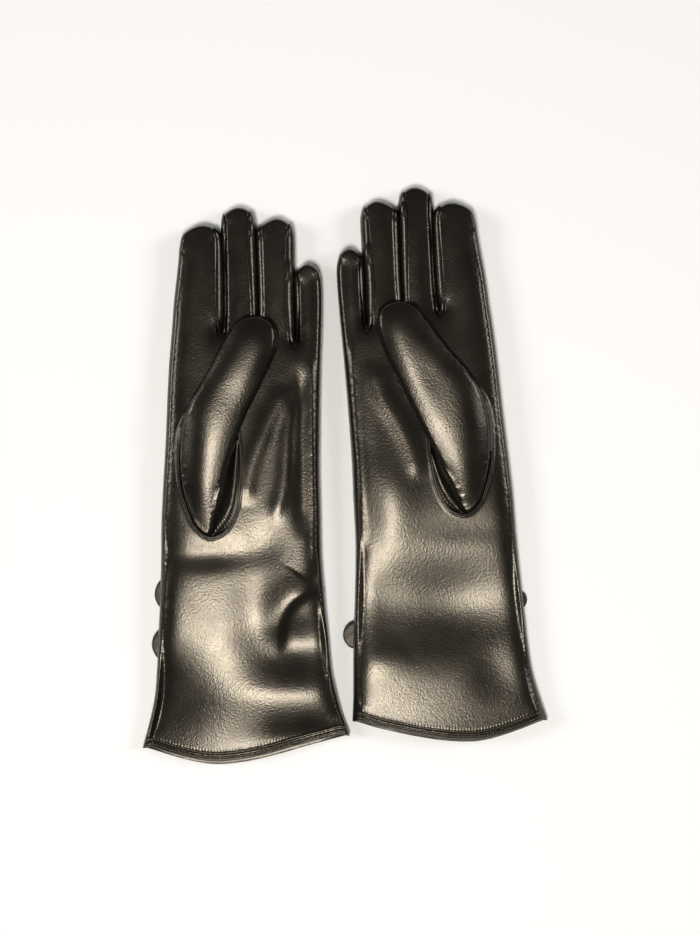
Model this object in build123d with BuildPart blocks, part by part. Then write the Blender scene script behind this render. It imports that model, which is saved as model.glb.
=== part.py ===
"""A pair of long leather dress gloves, lying palm up side by side with their thumbs folded over the palms.

Each glove is a table-cut leather glove: a palm and a back panel, fourchettes between the fingers, a set-in
thumb, a knitted lining, a turned hem with two rows of stitching, and a flat self-leather bow on the back of
the wrist.  Every glove is drawn in its own frame, in millimetres: +X towards the little finger, +Y from the
hem to the fingertips, +Z up from the table through the palm.  The right glove is the left one mirrored.
The row origin is the middle of the pair's bounding box, on the table.
"""

import os
from dataclasses import dataclass
from math import cos, radians, sin

from build123d import *

# ---- Driving dimensions (mm, degrees) ------------------------------------------------------------------
LEATHER = 0.8  # thickness of the dressed nappa
LINING = 0.8  # thickness of the knitted lining
LINING_GAP = 0.2  # air between leather and lining
FACING = 0.7  # thickness of the hem's turned-in leather
FACING_GAP = 0.1

LEAN = 4.0  # the fingers lean this much towards the little finger
FINGER_HEIGHT = 13.0
FINGER_GAP = 1.0  # air between two neighbouring fingers
EDGE_ROUND = 4.0  # rounding along a finger's long edges
REFERENCE_Y = 280.0  # where the fingers' centre lines are dimensioned
FOURCHETTE = 3.2  # how far a fourchette wraps onto the front and the back of a finger
FOURCHETTE_STOP = 7.0  # the fourchette ends this far short of the fingertip
CROTCH_Y = 247.0  # where the palm ends and the fingers part
KNUCKLE_SLIT = 0.5  # clearance at the knuckle where a finger bends
FINGER_ROOT_Y = 226.0  # the finger envelopes start here, inside the palm

SEAM_Z = 7.0  # height of the side seams, where palm and back panels meet
CORNER = 4.3  # rounding of the hand's side edges
REST_CUT = 0.1  # this much of the back is cut away to leave a true plane on the table
HEM_SAG = 12.0  # the hem bows towards the wearer by this much
HEM_HALF_SPAN = 62.0
PALM_HEM_STEP = 1.6  # the palm's hem ends this much above the back's hem
HEM_DEPTH = 15.0  # depth of the turned-in facing
STITCH_ROWS = (5.2, 9.4)  # distance of the two stitch rows from the back's hem edge
THREAD = 0.5  # width of a stitched line
THREAD_RISE = 0.3  # how far a stitched line stands out of the leather
FOLD = 0.5  # the facing starts this far inside the hem's fold
SIDE_SEAM_SPAN = (33.0, 227.0)

THUMB_BASE_Z = 14.6
THUMB_HEIGHT = 11.4
THUMB_ROUND = 4.6
THUMB_CIRCLES = (((-20.0, 148.0), 13.5), ((-17.5, 179.0), 17.5), ((10.0, 242.5), 14.5))  # root, ball, tip
THUMB_HOLE = (-18.0, 172.0)  # centre of the oval hole in the palm
THUMB_HOLE_RADII = (17.0, 38.5)
THUMB_MOUTH_INSET = 3.0  # the thumb's own opening is this much smaller than the hole
WELT = 1.0  # thickness of the seam welt in the oval hole
WELT_SPAN = (12.6, 14.2)  # the welt's lower and upper rim
LINING_CLEARANCE = 0.4  # the lining's hole is this much larger than the palm's

BOW_THICKNESS = 2.6
BOW_ROOT_RADIUS = 6.0  # half the width of a bow end where it enters the knot
BOW_ROOT_STEP = 6.5  # loops and tails leave the knot this far above and below its middle
BOW_ROUND = 1.1
KNOT_SIZE = (15.0, 24.0, 3.3)
KNOT_Y = 84.0
TALL = 60.0  # a cutting height that clears everything
FAR = 400.0  # a cutting length that clears everything


@dataclass(frozen=True)
class Station:
    """One cross-section of the hand: its place along the glove, its two side edges and its two faces."""

    along: float
    thumb_edge: float
    little_edge: float
    bottom: float
    top: float


@dataclass(frozen=True)
class Finger:
    """One finger: its centre line at REFERENCE_Y, width, tip, bending knuckle and sides with a fourchette."""

    name: str
    centre: float
    width: float
    tip: float
    knuckle: float
    tip_round: float
    fourchettes: tuple

    def plane(self, z=0.0):
        """The finger's own plane: origin on its centre line at REFERENCE_Y, +y towards the tip."""
        return Plane(
            origin=(self.centre, REFERENCE_Y, z),
            x_dir=(cos(radians(LEAN)), -sin(radians(LEAN)), 0),
            z_dir=(0, 0, 1),
        )

    def along(self, y):
        """A place along the glove, measured along the finger from REFERENCE_Y."""
        return (y - REFERENCE_Y) / cos(radians(LEAN))


@dataclass(frozen=True)
class Glove:
    """What differs between the two gloves of the pair."""

    side: str
    mirrored: bool
    shift: tuple
    little_hem: float
    bow: tuple  # (outer reach, height along the glove, end radius) of each of the bow's four ends


FINGERS = (
    Finger("index", -20.6, 26.4, 313.0, 264.0, 10.0, (1,)),
    Finger("middle", 3.1, 18.8, 321.5, 268.0, 8.0, (-1, 1)),
    Finger("ring", 23.3, 19.4, 314.0, 265.0, 8.0, (-1, 1)),
    Finger("little", 42.6, 15.4, 287.3, 254.0, 7.0, (-1,)),
)

PAIR_HALF_PITCH = 54.65  # from the pair's middle to a glove's own Y axis
RIGHT_AHEAD = 8.0  # the right glove lies this much further from the wearer
PAIR_LENGTH = FINGERS[1].tip + RIGHT_AHEAD

GLOVES = (
    Glove(
        side="left",
        mirrored=False,
        shift=(-PAIR_HALF_PITCH, -PAIR_LENGTH / 2),
        little_hem=57.6,
        bow=((-52.2, 103.5, 11.0), (45.0, 103.0, 10.0), (-55.0, 67.5, 11.0), (45.5, 62.0, 9.5)),
    ),
    Glove(
        side="right",
        mirrored=True,
        shift=(PAIR_HALF_PITCH, RIGHT_AHEAD - PAIR_LENGTH / 2),
        little_hem=50.0,
        bow=((-48.5, 106.0, 10.0), (45.0, 101.0, 10.0), (-53.4, 81.0, 6.0), (53.2, 61.0, 8.5)),
    ),
)


def hand_stations(glove):
    """The hand's cross-sections from just outside the hem to where the fingers part."""
    hem = glove.little_hem
    return (
        Station(-4.0, -66.0, hem + 1.4, 0.5, 9.6),
        Station(12.0, -63.2, hem, 0.5, 10.2),
        Station(28.0, -58.3, (hem + 47.4) / 2, 0.8, 11.2),
        Station(46.0, -54.6, 48.4, 3.2, 12.8),
        Station(80.0, -50.9, 46.9, 3.4, 13.8),
        Station(118.0, -49.3, 45.6, 3.3, 14.1),
        Station(138.0, -48.1, 45.4, -REST_CUT, 14.1),
        Station(180.0, -45.1, 46.3, -REST_CUT, 14.1),
        Station(218.0, -41.3, 47.6, -REST_CUT, 13.9),
        Station(CROTCH_Y, -37.3, 48.5, 0.4, 12.5),
    )


# ---- Envelopes: the outer shape of the glove, drawn again for each layer by an inset -------------------
def hand_envelope(glove, inset):
    """The hand without its fingers, as a ruled loft of rounded sections, every wall moved in by inset."""
    stations = hand_stations(glove)
    with BuildPart() as hand:
        for station in stations:
            ends_hand = station is stations[-1]
            along = station.along - (inset if ends_hand else 0.0)
            width = station.little_edge - station.thumb_edge - 2 * inset
            height = station.top - station.bottom - 2 * inset
            middle = (station.little_edge + station.thumb_edge) / 2
            level = (station.top + station.bottom) / 2
            with BuildSketch(Plane.XZ.offset(-along)):
                with Locations((middle, level)):
                    RectangleRounded(width, height, min(CORNER - inset, height / 2 - 0.1))
        loft(ruled=True)
    return hand.part


def finger_envelope(finger, inset):
    """One finger from inside the palm to its tip, as a pillow with rounded corners and edges."""
    start = finger.along(FINGER_ROOT_Y) + inset
    end = finger.along(finger.tip) - inset
    with BuildPart() as tube:
        with BuildSketch(finger.plane(inset)):
            with Locations((0, (start + end) / 2)):
                RectangleRounded(finger.width - 2 * inset, end - start, finger.tip_round - inset)
        extrude(amount=FINGER_HEIGHT - 2 * inset)
        rims = tube.edges().group_by(Axis.Z)
        fillet(rims[0] + rims[-1], radius=EDGE_ROUND - inset)
    return tube.part


def glove_envelope(glove, inset):
    """Hand and four fingers together, without the thumb."""
    hand = hand_envelope(glove, inset)
    fingers = [finger_envelope(finger, inset) for finger in FINGERS]
    with BuildPart() as envelope:
        add(hand)
        add(fingers)
    return envelope.part


def thumb_envelope(inset):
    """The thumb lying over the palm: a pillow whose outline wraps the root, the ball and the tip."""
    with BuildPart() as thumb:
        with BuildSketch(Plane.XY.offset(THUMB_BASE_Z + inset)):
            for centre, radius in THUMB_CIRCLES:
                with Locations(centre):
                    Circle(radius - inset)
            make_hull()
        extrude(amount=THUMB_HEIGHT - 2 * inset)
        rims = thumb.edges().group_by(Axis.Z)
        fillet(rims[0] + rims[-1], radius=THUMB_ROUND - inset)
    return thumb.part


# ---- Cutters -------------------------------------------------------------------------------------------
def beyond_hem(step):
    """Everything on the fingers' side of the hem's curve, which lies step above the back's hem edge."""
    with BuildPart() as kept:
        with BuildSketch(Plane.XY.offset(-TALL / 2)):
            with BuildLine():
                ends = [(sign * 2 * HEM_HALF_SPAN, step + 4 * HEM_SAG) for sign in (-1, 1)]
                hem = ThreePointArc(ends[0], (-4.0, step), ends[1])
                Polyline(hem @ 1, (2 * HEM_HALF_SPAN, FAR), (-2 * HEM_HALF_SPAN, FAR), hem @ 0)
            make_face()
        extrude(amount=TALL)
    return kept.part


def finger_region(finger, start, low=None, high=None, end=FAR):
    """A block in the finger's own plane, from start to end along it and from low to high across it."""
    half = finger.width / 2 + FINGER_GAP / 2 - 0.05
    low = -half if low is None else low
    high = half if high is None else high
    with BuildPart() as block:
        with BuildSketch(finger.plane(-TALL / 2)):
            with Locations(((low + high) / 2, (start + end) / 2)):
                Rectangle(high - low, end - start)
        extrude(amount=TALL)
    return block.part


def hem_band(start, depth):
    """A band that follows the hem's curve, from start to start + depth above the back's hem edge."""
    inner, outer = beyond_hem(start), beyond_hem(start + depth)
    with BuildPart() as band:
        add(inner)
        add(outer, mode=Mode.SUBTRACT)
    return band.part


def thumb_oval(shrink, low=SEAM_Z, high=THUMB_BASE_Z + THUMB_HEIGHT / 2):
    """The oval of the set-in thumb as a plug between two heights, its radii less by shrink."""
    wide, long = THUMB_HOLE_RADII
    with BuildPart() as oval:
        with BuildSketch(Plane.XY.offset(low)):
            with Locations(Location((*THUMB_HOLE, 0), (0, 0, -LEAN))):
                Ellipse(wide - shrink, long - shrink)
        extrude(amount=high - low)
    return oval.part


def level_slab(low, high):
    """A wide slab between two heights."""
    with BuildPart() as slab:
        with BuildSketch(Plane.XY.offset(low)):
            Rectangle(2 * FAR, 3 * FAR)
        extrude(amount=high - low)
    return slab.part


def joined(blocks):
    """Several blocks as one cutter."""
    with BuildPart() as cutter:
        add(blocks)
    return cutter.part


# ---- Leather and lining of the hand --------------------------------------------------------------------
def layer(glove, outer_inset, inner_inset, hem_step):
    """One closed layer of material between two insets, open at the hem."""
    outside, inside = glove_envelope(glove, outer_inset), glove_envelope(glove, inner_inset)
    above_hem = beyond_hem(hem_step)
    with BuildPart() as shell:
        add(outside)
        add(inside, mode=Mode.SUBTRACT)
        add(above_hem, mode=Mode.INTERSECT)
    return shell.part


def without_fingers(shell):
    """The hand's share of a layer: what stays when the bending ends of the fingers are taken away."""
    bending = [finger_region(f, f.along(f.knuckle) - KNUCKLE_SLIT / 2) for f in FINGERS]
    with BuildPart() as hand:
        add(shell)
        add(bending, mode=Mode.SUBTRACT)
    return hand.part


def fourchette_roots(hand_shell):
    """The three forks between the fingers, from the crotch up to the knuckles."""
    gaps = []
    for finger in FINGERS[:-1]:
        edge = finger.width / 2
        start = finger.along(CROTCH_Y - LEATHER)
        gaps.append(finger_region(finger, start, edge - FOURCHETTE, edge + FINGER_GAP + FOURCHETTE))
    forks = joined(gaps)
    with BuildPart() as roots:
        add(hand_shell)
        add(forks, mode=Mode.INTERSECT)
    return roots.part


def back_panel(hand_shell, roots):
    """The back of the hand: the leather below the side seams, cut flat where it rests on the table."""
    lower = level_slab(0.0, SEAM_Z)
    with BuildPart() as panel:
        add(hand_shell)
        add(lower, mode=Mode.INTERSECT)
        add(roots, mode=Mode.SUBTRACT)
    return panel.part


def palm_panel(hand_shell, roots):
    """The palm: the leather above the side seams, with the thumb's oval hole and a slightly shorter hem."""
    upper, hole = level_slab(SEAM_Z, TALL), thumb_oval(0.0)
    above_hem = beyond_hem(PALM_HEM_STEP)
    with BuildPart() as panel:
        add(hand_shell)
        add(upper, mode=Mode.INTERSECT)
        add(roots, mode=Mode.SUBTRACT)
        add(hole, mode=Mode.SUBTRACT)
        add(above_hem, mode=Mode.INTERSECT)
    return panel.part


def thumb_welt():
    """The welt of the thumb seam, a thin oval ring set in the palm's hole."""
    low, high = WELT_SPAN
    hole, bore = thumb_oval(0.0, low, high), thumb_oval(WELT, low, high)
    with BuildPart() as welt:
        add(hole)
        add(bore, mode=Mode.SUBTRACT)
    return welt.part


def cuff_facing(glove):
    """The leather turned in at the hem, a flat tube inside the cuff."""
    outer = LEATHER + FACING_GAP
    outside, inside = hand_envelope(glove, outer), hand_envelope(glove, outer + FACING)
    band = hem_band(PALM_HEM_STEP + FOLD, HEM_DEPTH)
    with BuildPart() as facing:
        add(outside)
        add(inside, mode=Mode.SUBTRACT)
        add(band, mode=Mode.INTERSECT)
    return facing.part


def hem_stitching(glove):
    """Two rows of stitching round the cuff, each drawn as one proud line of thread."""
    outside, inside = hand_envelope(glove, -THREAD_RISE), hand_envelope(glove, 0.0)
    rows = joined([hem_band(row, THREAD) for row in STITCH_ROWS])
    with BuildPart() as stitching:
        add(outside)
        add(inside, mode=Mode.SUBTRACT)
        add(rows, mode=Mode.INTERSECT)
    return stitching.part


def side_seam(glove):
    """The thread of the side seam along the thumb's edge, from above the hem's rows to the index finger."""
    outside, inside = hand_envelope(glove, -THREAD_RISE), hand_envelope(glove, 0.0)
    start, end = SIDE_SEAM_SPAN
    with BuildPart() as seam:
        add(outside)
        add(inside, mode=Mode.SUBTRACT)
        with Locations((-FAR / 2, (start + end) / 2, SEAM_Z)):
            Box(FAR, end - start, THREAD, mode=Mode.INTERSECT)
    return seam.part


def hand_lining(shell):
    """The lining of palm and back, with the thumb's oval cut out of its palm side."""
    hand, hole = without_fingers(shell), thumb_oval(-LINING_CLEARANCE)
    with BuildPart() as lining:
        add(hand)
        add(hole, mode=Mode.SUBTRACT)
    return lining.part


# ---- Fingers and thumb ---------------------------------------------------------------------------------
def finger_share(shell, finger):
    """A layer's bending end of one finger, from its knuckle to its tip."""
    region = finger_region(finger, finger.along(finger.knuckle) + KNUCKLE_SLIT / 2)
    with BuildPart() as share:
        add(shell)
        add(region, mode=Mode.INTERSECT)
    return share.part


def finger_fourchettes(share, finger):
    """The side strips of one finger, one for each neighbour that it has."""
    edge = finger.width / 2
    start, end = finger.along(FINGER_ROOT_Y), finger.along(finger.tip) - FOURCHETTE_STOP
    sides = []
    for sign in finger.fourchettes:
        low, high = sorted((sign * (edge - FOURCHETTE), sign * (edge + FINGER_GAP / 2)))
        sides.append(finger_region(finger, start, low, high, end))
    both = joined(sides)
    with BuildPart() as strips:
        add(share)
        add(both, mode=Mode.INTERSECT)
    return strips.part


def finger_face(share, strips, low, high):
    """The front or the back of one finger, between two heights, without its fourchettes."""
    half = level_slab(low, high)
    with BuildPart() as face:
        add(share)
        add(half, mode=Mode.INTERSECT)
        add(strips, mode=Mode.SUBTRACT)
    return face.part


def thumb_layer(outer_inset, inner_inset):
    """One layer of the thumb, open below where it sits over the oval hole."""
    outside, inside = thumb_envelope(outer_inset), thumb_envelope(inner_inset)
    mouth = thumb_oval(THUMB_MOUTH_INSET)
    with BuildPart() as thumb:
        add(outside)
        add(inside, mode=Mode.SUBTRACT)
        add(mouth, mode=Mode.SUBTRACT)
    return thumb.part


# ---- Bow -----------------------------------------------------------------------------------------------
def bow_ends(ends, root_y):
    """A pair of the bow's flat ends, one to each side of the knot."""
    with BuildPart() as lobes:
        for reach, height, radius in ends:
            sign = 1 if reach > 0 else -1
            with BuildSketch():
                with Locations((sign * KNOT_SIZE[0] / 2, root_y)):
                    Circle(BOW_ROOT_RADIUS)
                with Locations((reach - sign * radius, height)):
                    Circle(radius)
                make_hull()
            extrude(amount=BOW_THICKNESS)
        rims = lobes.edges().group_by(Axis.Z)
        fillet(rims[0] + rims[-1], radius=BOW_ROUND)
        with Locations((0, KNOT_Y, 0)):
            Box(KNOT_SIZE[0] + 0.2, KNOT_SIZE[1] + 0.2, TALL, mode=Mode.SUBTRACT)
    return lobes.part


def bow_knot():
    """The knot, a soft-edged band that holds the bow's ends together."""
    with BuildPart() as knot:
        with BuildSketch():
            with Locations((0, KNOT_Y)):
                RectangleRounded(KNOT_SIZE[0], KNOT_SIZE[1], 3.0)
        extrude(amount=KNOT_SIZE[2])
        fillet(knot.edges().group_by(Axis.Z)[-1], radius=1.2)
    return knot.part


# ---- Assembly ------------------------------------------------------------------------------------------
def glove_pieces(glove):
    """Every piece of one glove in the glove's own frame, by name."""
    lining_out = LEATHER + LINING_GAP
    lining_in = lining_out + LINING
    leather = layer(glove, 0.0, LEATHER, 0.0)
    lining = layer(glove, lining_out, lining_in, PALM_HEM_STEP + HEM_DEPTH + 1.0)
    hand = without_fingers(leather)
    roots = fourchette_roots(hand)
    pieces = {
        "palm_panel": palm_panel(hand, roots),
        "back_panel": back_panel(hand, roots),
        "fourchette_roots": roots,
        "thumb_welt": thumb_welt(),
        "cuff_facing": cuff_facing(glove),
        "hem_stitching": hem_stitching(glove),
        "side_seam": side_seam(glove),
        "hand_lining": hand_lining(lining),
        "bow_loops": bow_ends(glove.bow[:2], KNOT_Y + BOW_ROOT_STEP),
        "bow_tails": bow_ends(glove.bow[2:], KNOT_Y - BOW_ROOT_STEP),
        "bow_knot": bow_knot(),
        "thumb_leather": thumb_layer(0.0, LEATHER),
        "thumb_lining": thumb_layer(lining_out, lining_in),
    }
    for finger in FINGERS:
        share = finger_share(leather, finger)
        strips = finger_fourchettes(share, finger)
        seam = FINGER_HEIGHT / 2
        pieces[f"{finger.name}_front"] = finger_face(share, strips, seam, TALL)
        pieces[f"{finger.name}_back"] = finger_face(share, strips, -TALL, seam)
        pieces[f"{finger.name}_fourchettes"] = strips
        pieces[f"{finger.name}_lining"] = finger_share(lining, finger)
    return pieces


def write_piece(piece, glove, name):
    """Places one piece in the pair's frame, mirrored for the right glove, and writes its STEP file."""
    shape = mirror(piece, about=Plane.YZ) if glove.mirrored else piece
    with BuildPart() as placed:
        with Locations((*glove.shift, 0)):
            add(shape)
    placed.part.label = f"{glove.side}_{name}"
    export_step(placed.part, f"parts/{glove.side}_{name}.step")


def main():
    """Builds both gloves and writes one STEP file for each piece."""
    os.makedirs("parts", exist_ok=True)
    for glove in GLOVES:
        for name, piece in glove_pieces(glove).items():
            write_piece(piece, glove, name)


if __name__ == "__main__":
    main()
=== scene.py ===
"""A pair of long black nappa gloves, lying palm up with their thumbs folded over the palms.

Every glove is drawn in its own frame, in millimetres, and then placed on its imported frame: +x towards the little
finger, +y from the hem to the fingertips, +z up through the palm.  The right glove is mirrored in x.
"""

import logging
from dataclasses import dataclass
from enum import Enum
from math import cos, hypot, pi, radians, sin

import bpy
import numpy as np
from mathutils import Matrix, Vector
from mathutils.geometry import delaunay_2d_cdt
from mathutils.kdtree import KDTree

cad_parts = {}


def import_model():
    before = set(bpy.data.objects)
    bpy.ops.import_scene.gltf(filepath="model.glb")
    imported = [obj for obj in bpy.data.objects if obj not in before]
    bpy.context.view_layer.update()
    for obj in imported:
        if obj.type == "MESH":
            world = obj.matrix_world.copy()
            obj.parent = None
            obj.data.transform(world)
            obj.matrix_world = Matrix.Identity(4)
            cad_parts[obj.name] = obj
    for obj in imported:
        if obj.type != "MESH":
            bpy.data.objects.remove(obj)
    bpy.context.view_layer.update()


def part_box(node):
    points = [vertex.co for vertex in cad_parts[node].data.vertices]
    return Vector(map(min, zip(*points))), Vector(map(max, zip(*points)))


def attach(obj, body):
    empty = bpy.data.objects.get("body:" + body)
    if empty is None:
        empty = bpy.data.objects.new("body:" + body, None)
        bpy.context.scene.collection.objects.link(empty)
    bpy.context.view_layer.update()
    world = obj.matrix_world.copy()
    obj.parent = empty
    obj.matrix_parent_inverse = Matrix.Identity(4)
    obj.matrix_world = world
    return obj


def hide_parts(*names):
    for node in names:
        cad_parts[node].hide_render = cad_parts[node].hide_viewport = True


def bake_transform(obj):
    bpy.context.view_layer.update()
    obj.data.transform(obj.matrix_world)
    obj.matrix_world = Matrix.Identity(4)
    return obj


LOG = logging.getLogger("gloves")
MM = 0.001
SEED = 7


# ---- Numbers and lines ---------------------------------------------------------------------------------
def linear(hex_colour: str) -> tuple[float, float, float, float]:
    """Turns an sRGB hex colour into linear RGBA.

    Args:
        hex_colour: Six hex digits with a leading hash.

    Returns:
        The colour in linear light, with full alpha.
    """
    channels = [int(hex_colour[i:i + 2], 16) / 255 for i in (1, 3, 5)]
    return (*(c / 12.92 if c <= 0.04045 else ((c + 0.055) / 1.055) ** 2.4 for c in channels), 1.0)


def ease(value: np.ndarray, low: float, high: float) -> np.ndarray:
    """A smooth step.

    Args:
        value: The values to map.
        low: Where the step starts.
        high: Where the step ends; it may be less than low.

    Returns:
        0 before low, 1 after high and a smooth rise between.
    """
    t = np.clip((value - low) / (high - low), 0.0, 1.0)
    return t * t * (3 - 2 * t)


def bell(distance: np.ndarray, width: float) -> np.ndarray:
    """A bell curve of height one whose half-width at 1/e is width."""
    return np.exp(-(distance / width) ** 2)


def quarter_round(depth: np.ndarray, radius: float) -> np.ndarray:
    """The rise of a quarter circle: 0 at the edge and 1 from one radius in."""
    t = 1 - np.clip(depth / radius, 0.0, 1.0)
    return np.sqrt(np.clip(1 - t * t, 0.0, 1.0))


def smooth_line(points: list, step: float) -> tuple[np.ndarray, list]:
    """A centripetal Catmull-Rom curve through points.

    Args:
        points: The points that the curve passes through, in mm.
        step: The distance between two samples.

    Returns:
        The samples, and the place of each given point among them.
    """
    knots = np.array(points, float)
    knots = np.vstack([2 * knots[0] - knots[1], knots, 2 * knots[-1] - knots[-2]])
    samples, marks = [], [0]
    for p0, p1, p2, p3 in zip(knots, knots[1:], knots[2:], knots[3:]):
        count = max(1, round(float(np.linalg.norm(p2 - p1)) / step))
        t0 = 0.0
        t1 = t0 + np.linalg.norm(p1 - p0) ** 0.5
        t2 = t1 + np.linalg.norm(p2 - p1) ** 0.5
        t3 = t2 + np.linalg.norm(p3 - p2) ** 0.5
        t = (t1 + (t2 - t1) * np.arange(count) / count)[:, None]
        a1 = (t1 - t) / (t1 - t0) * p0 + (t - t0) / (t1 - t0) * p1
        a2 = (t2 - t) / (t2 - t1) * p1 + (t - t1) / (t2 - t1) * p2
        a3 = (t3 - t) / (t3 - t2) * p2 + (t - t2) / (t3 - t2) * p3
        b1 = (t2 - t) / (t2 - t0) * a1 + (t - t0) / (t2 - t0) * a2
        b2 = (t3 - t) / (t3 - t1) * a2 + (t - t1) / (t3 - t1) * a3
        samples.append((t2 - t) / (t2 - t1) * b1 + (t - t1) / (t2 - t1) * b2)
        marks.append(marks[-1] + count)
    samples.append(knots[-2][None])
    return np.vstack(samples), marks


def smooth_loop(points: list, step: float) -> np.ndarray:
    """A closed Catmull-Rom curve through points, without its first sample repeated."""
    samples, marks = smooth_line([points[-2], points[-1], *points, points[0], points[1]], step)
    return samples[marks[2]:marks[2 + len(points)]]


def search_tree(points: np.ndarray) -> KDTree:
    """A search tree over points; flat points are taken at height 0.

    Args:
        points: The points.

    Returns:
        The balanced tree.
    """
    tree = KDTree(len(points))
    for i, point in enumerate(points):
        tree.insert(point if len(point) == 3 else (*point, 0.0), i)
    tree.balance()
    return tree


def tangents(line: np.ndarray) -> np.ndarray:
    """The unit direction of a line at each of its samples."""
    directions = np.gradient(line, axis=0)
    return directions / np.linalg.norm(directions, axis=1)[:, None]


def lengths_along(line: np.ndarray) -> np.ndarray:
    """The length along a line up to each of its samples."""
    return np.concatenate([[0.0], np.cumsum(np.linalg.norm(np.diff(line, axis=0), axis=1))])


def closed(loop: np.ndarray) -> np.ndarray:
    """A loop with its first sample repeated at its end."""
    return np.vstack([loop, loop[:1]])


@dataclass
class Near:
    """How a set of points lies to a line: distance, signed side (+ to its left) and length along it."""

    distance: np.ndarray
    side: np.ndarray
    along: np.ndarray


def near(line: np.ndarray, points: np.ndarray) -> Near:
    """Measures points against an open line of samples.

    Args:
        line: The samples of the line.
        points: The points to measure.

    Returns:
        The distance, side and length along the line of each point's nearest place on it.
    """
    tree = search_tree(line)
    closest = np.array([tree.find((x, y, 0.0))[1] for x, y in points])
    lengths = lengths_along(line)
    best = Near(np.full(len(points), np.inf), np.zeros(len(points)), np.zeros(len(points)))
    for shift in (-1, 0):
        i = np.clip(closest + shift, 0, len(line) - 2)
        a, ab = line[i], line[i + 1] - line[i]
        ap = points - a
        t = np.clip((ap * ab).sum(1) / (ab * ab).sum(1), 0.0, 1.0)
        off = ap - t[:, None] * ab
        distance = np.hypot(off[:, 0], off[:, 1])
        better = distance < best.distance
        best.distance[better] = distance[better]
        best.side[better] = np.sign(ab[:, 0] * ap[:, 1] - ab[:, 1] * ap[:, 0])[better]
        best.along[better] = (lengths[i] + t * (lengths[i + 1] - lengths[i]))[better]
    return best


def inside(loop: np.ndarray, points: np.ndarray) -> np.ndarray:
    """Which points lie within a closed loop, by counting crossings.

    Args:
        loop: The loop.
        points: The points to test.

    Returns:
        True for each point inside.
    """
    result = np.zeros(len(points), bool)
    x, y = points[:, 0], points[:, 1]
    for (x0, y0), (x1, y1) in zip(loop, np.roll(loop, -1, axis=0)):
        if y0 == y1:
            continue
        crosses = (y0 > y) != (y1 > y)
        result ^= crosses & (x < (x1 - x0) * (y - y0) / (y1 - y0) + x0)
    return result


def beside(line: np.ndarray, offset: float) -> np.ndarray:
    """A row of points beside a line, to its left by offset.

    Args:
        line: The line.
        offset: How far to its left, in mm.

    Returns:
        The row's points.
    """
    tangent = tangents(line)
    return line + offset * np.column_stack([-tangent[:, 1], tangent[:, 0]])


# ---- Meshes --------------------------------------------------------------------------------------------
def flat_mesh(loop: np.ndarray, holes: list, rows: list, cuts: list, pitch: float,
              fine: tuple | None = None) -> tuple[np.ndarray, np.ndarray]:
    """Triangulates a flat cut of leather.

    Args:
        loop: The outline of the cut.
        holes: The outlines of the holes in it.
        rows: Extra rows of points, such as those beside a seam.
        cuts: Lines that the triangles must follow; each is a row of points from edge to edge.
        pitch: The distance between points in the open leather.
        fine: A line and a distance; within it the pitch is half.

    Returns:
        The points and the triangles, wound counter-clockwise.
    """
    borders = [loop, *holes]
    rims = np.vstack(borders)
    low, high = loop.min(0), loop.max(0)

    def lattice(step: float) -> np.ndarray:
        """A triangular lattice over the whole cut."""
        ys = np.arange(low[1], high[1], step * 0.866)
        xs = np.arange(low[0], high[0], step)
        grid = np.array(np.meshgrid(xs, ys))
        grid[0] += np.where(np.arange(len(ys)) % 2, step / 2, 0)[:, None]
        return grid.reshape(2, -1).T

    extra = np.vstack([np.zeros((0, 2)), *rows])
    if len(extra):
        extra = extra[near_points(rims, extra) > 0.22]
    fixed = np.vstack([rims, extra, *cuts])
    if fine is None:
        open_field = lattice(pitch)
        open_field = open_field[near_points(fixed, open_field) > pitch * 0.62]
    else:
        line, reach = fine
        coarse, dense = lattice(pitch), lattice(pitch / 2)
        coarse = coarse[near_points(line, coarse) >= reach]
        dense = dense[near_points(line, dense) < reach]
        coarse = coarse[near_points(fixed, coarse) > pitch * 0.62]
        dense = dense[near_points(fixed, dense) > pitch * 0.31]
        open_field = np.vstack([coarse, dense])
    field_points = np.vstack([extra, open_field])
    keep = inside(loop, field_points)
    for hole in holes:
        keep &= ~inside(hole, field_points)
    points = np.vstack([rims, field_points[keep]])
    edges, start = [], 0
    for border in borders:
        count = len(border)
        edges += [(start + i, start + (i + 1) % count) for i in range(count)]
        start += count
    for cut in cuts:
        first = len(points)
        points = np.vstack([points, cut[1:-1]])
        ends = [int(np.argmin(np.hypot(*(rims - end).T))) for end in (cut[0], cut[-1])]
        chain = [ends[0], *range(first, first + len(cut) - 2), ends[1]]
        edges += list(zip(chain, chain[1:]))
    result = delaunay_2d_cdt([Vector(p) for p in points], edges, [], 0, 1e-5, False)
    flat = np.array([tuple(v) for v in result[0]])
    faces = np.array([f for f in result[2] if len(f) == 3])
    centres = flat[faces].mean(1)
    keep = inside(loop, centres)
    for hole in holes:
        keep &= ~inside(hole, centres)
    faces = faces[keep]
    used = np.unique(faces)
    place = np.zeros(len(flat), int)
    place[used] = np.arange(len(used))
    flat, faces = flat[used], place[faces]
    a, b, c = flat[faces[:, 0]], flat[faces[:, 1]], flat[faces[:, 2]]
    turned = (b - a)[:, 0] * (c - a)[:, 1] - (b - a)[:, 1] * (c - a)[:, 0] < 0
    faces[turned] = faces[turned][:, ::-1]
    return flat, faces


def near_points(cloud: np.ndarray, points: np.ndarray) -> np.ndarray:
    """The distance from each point to the nearest point of a cloud.

    Args:
        cloud: The points to measure from.
        points: The points to measure.

    Returns:
        One distance for each point.
    """
    tree = search_tree(cloud)
    return np.array([tree.find((x, y, 0.0))[2] for x, y in points])


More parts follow.
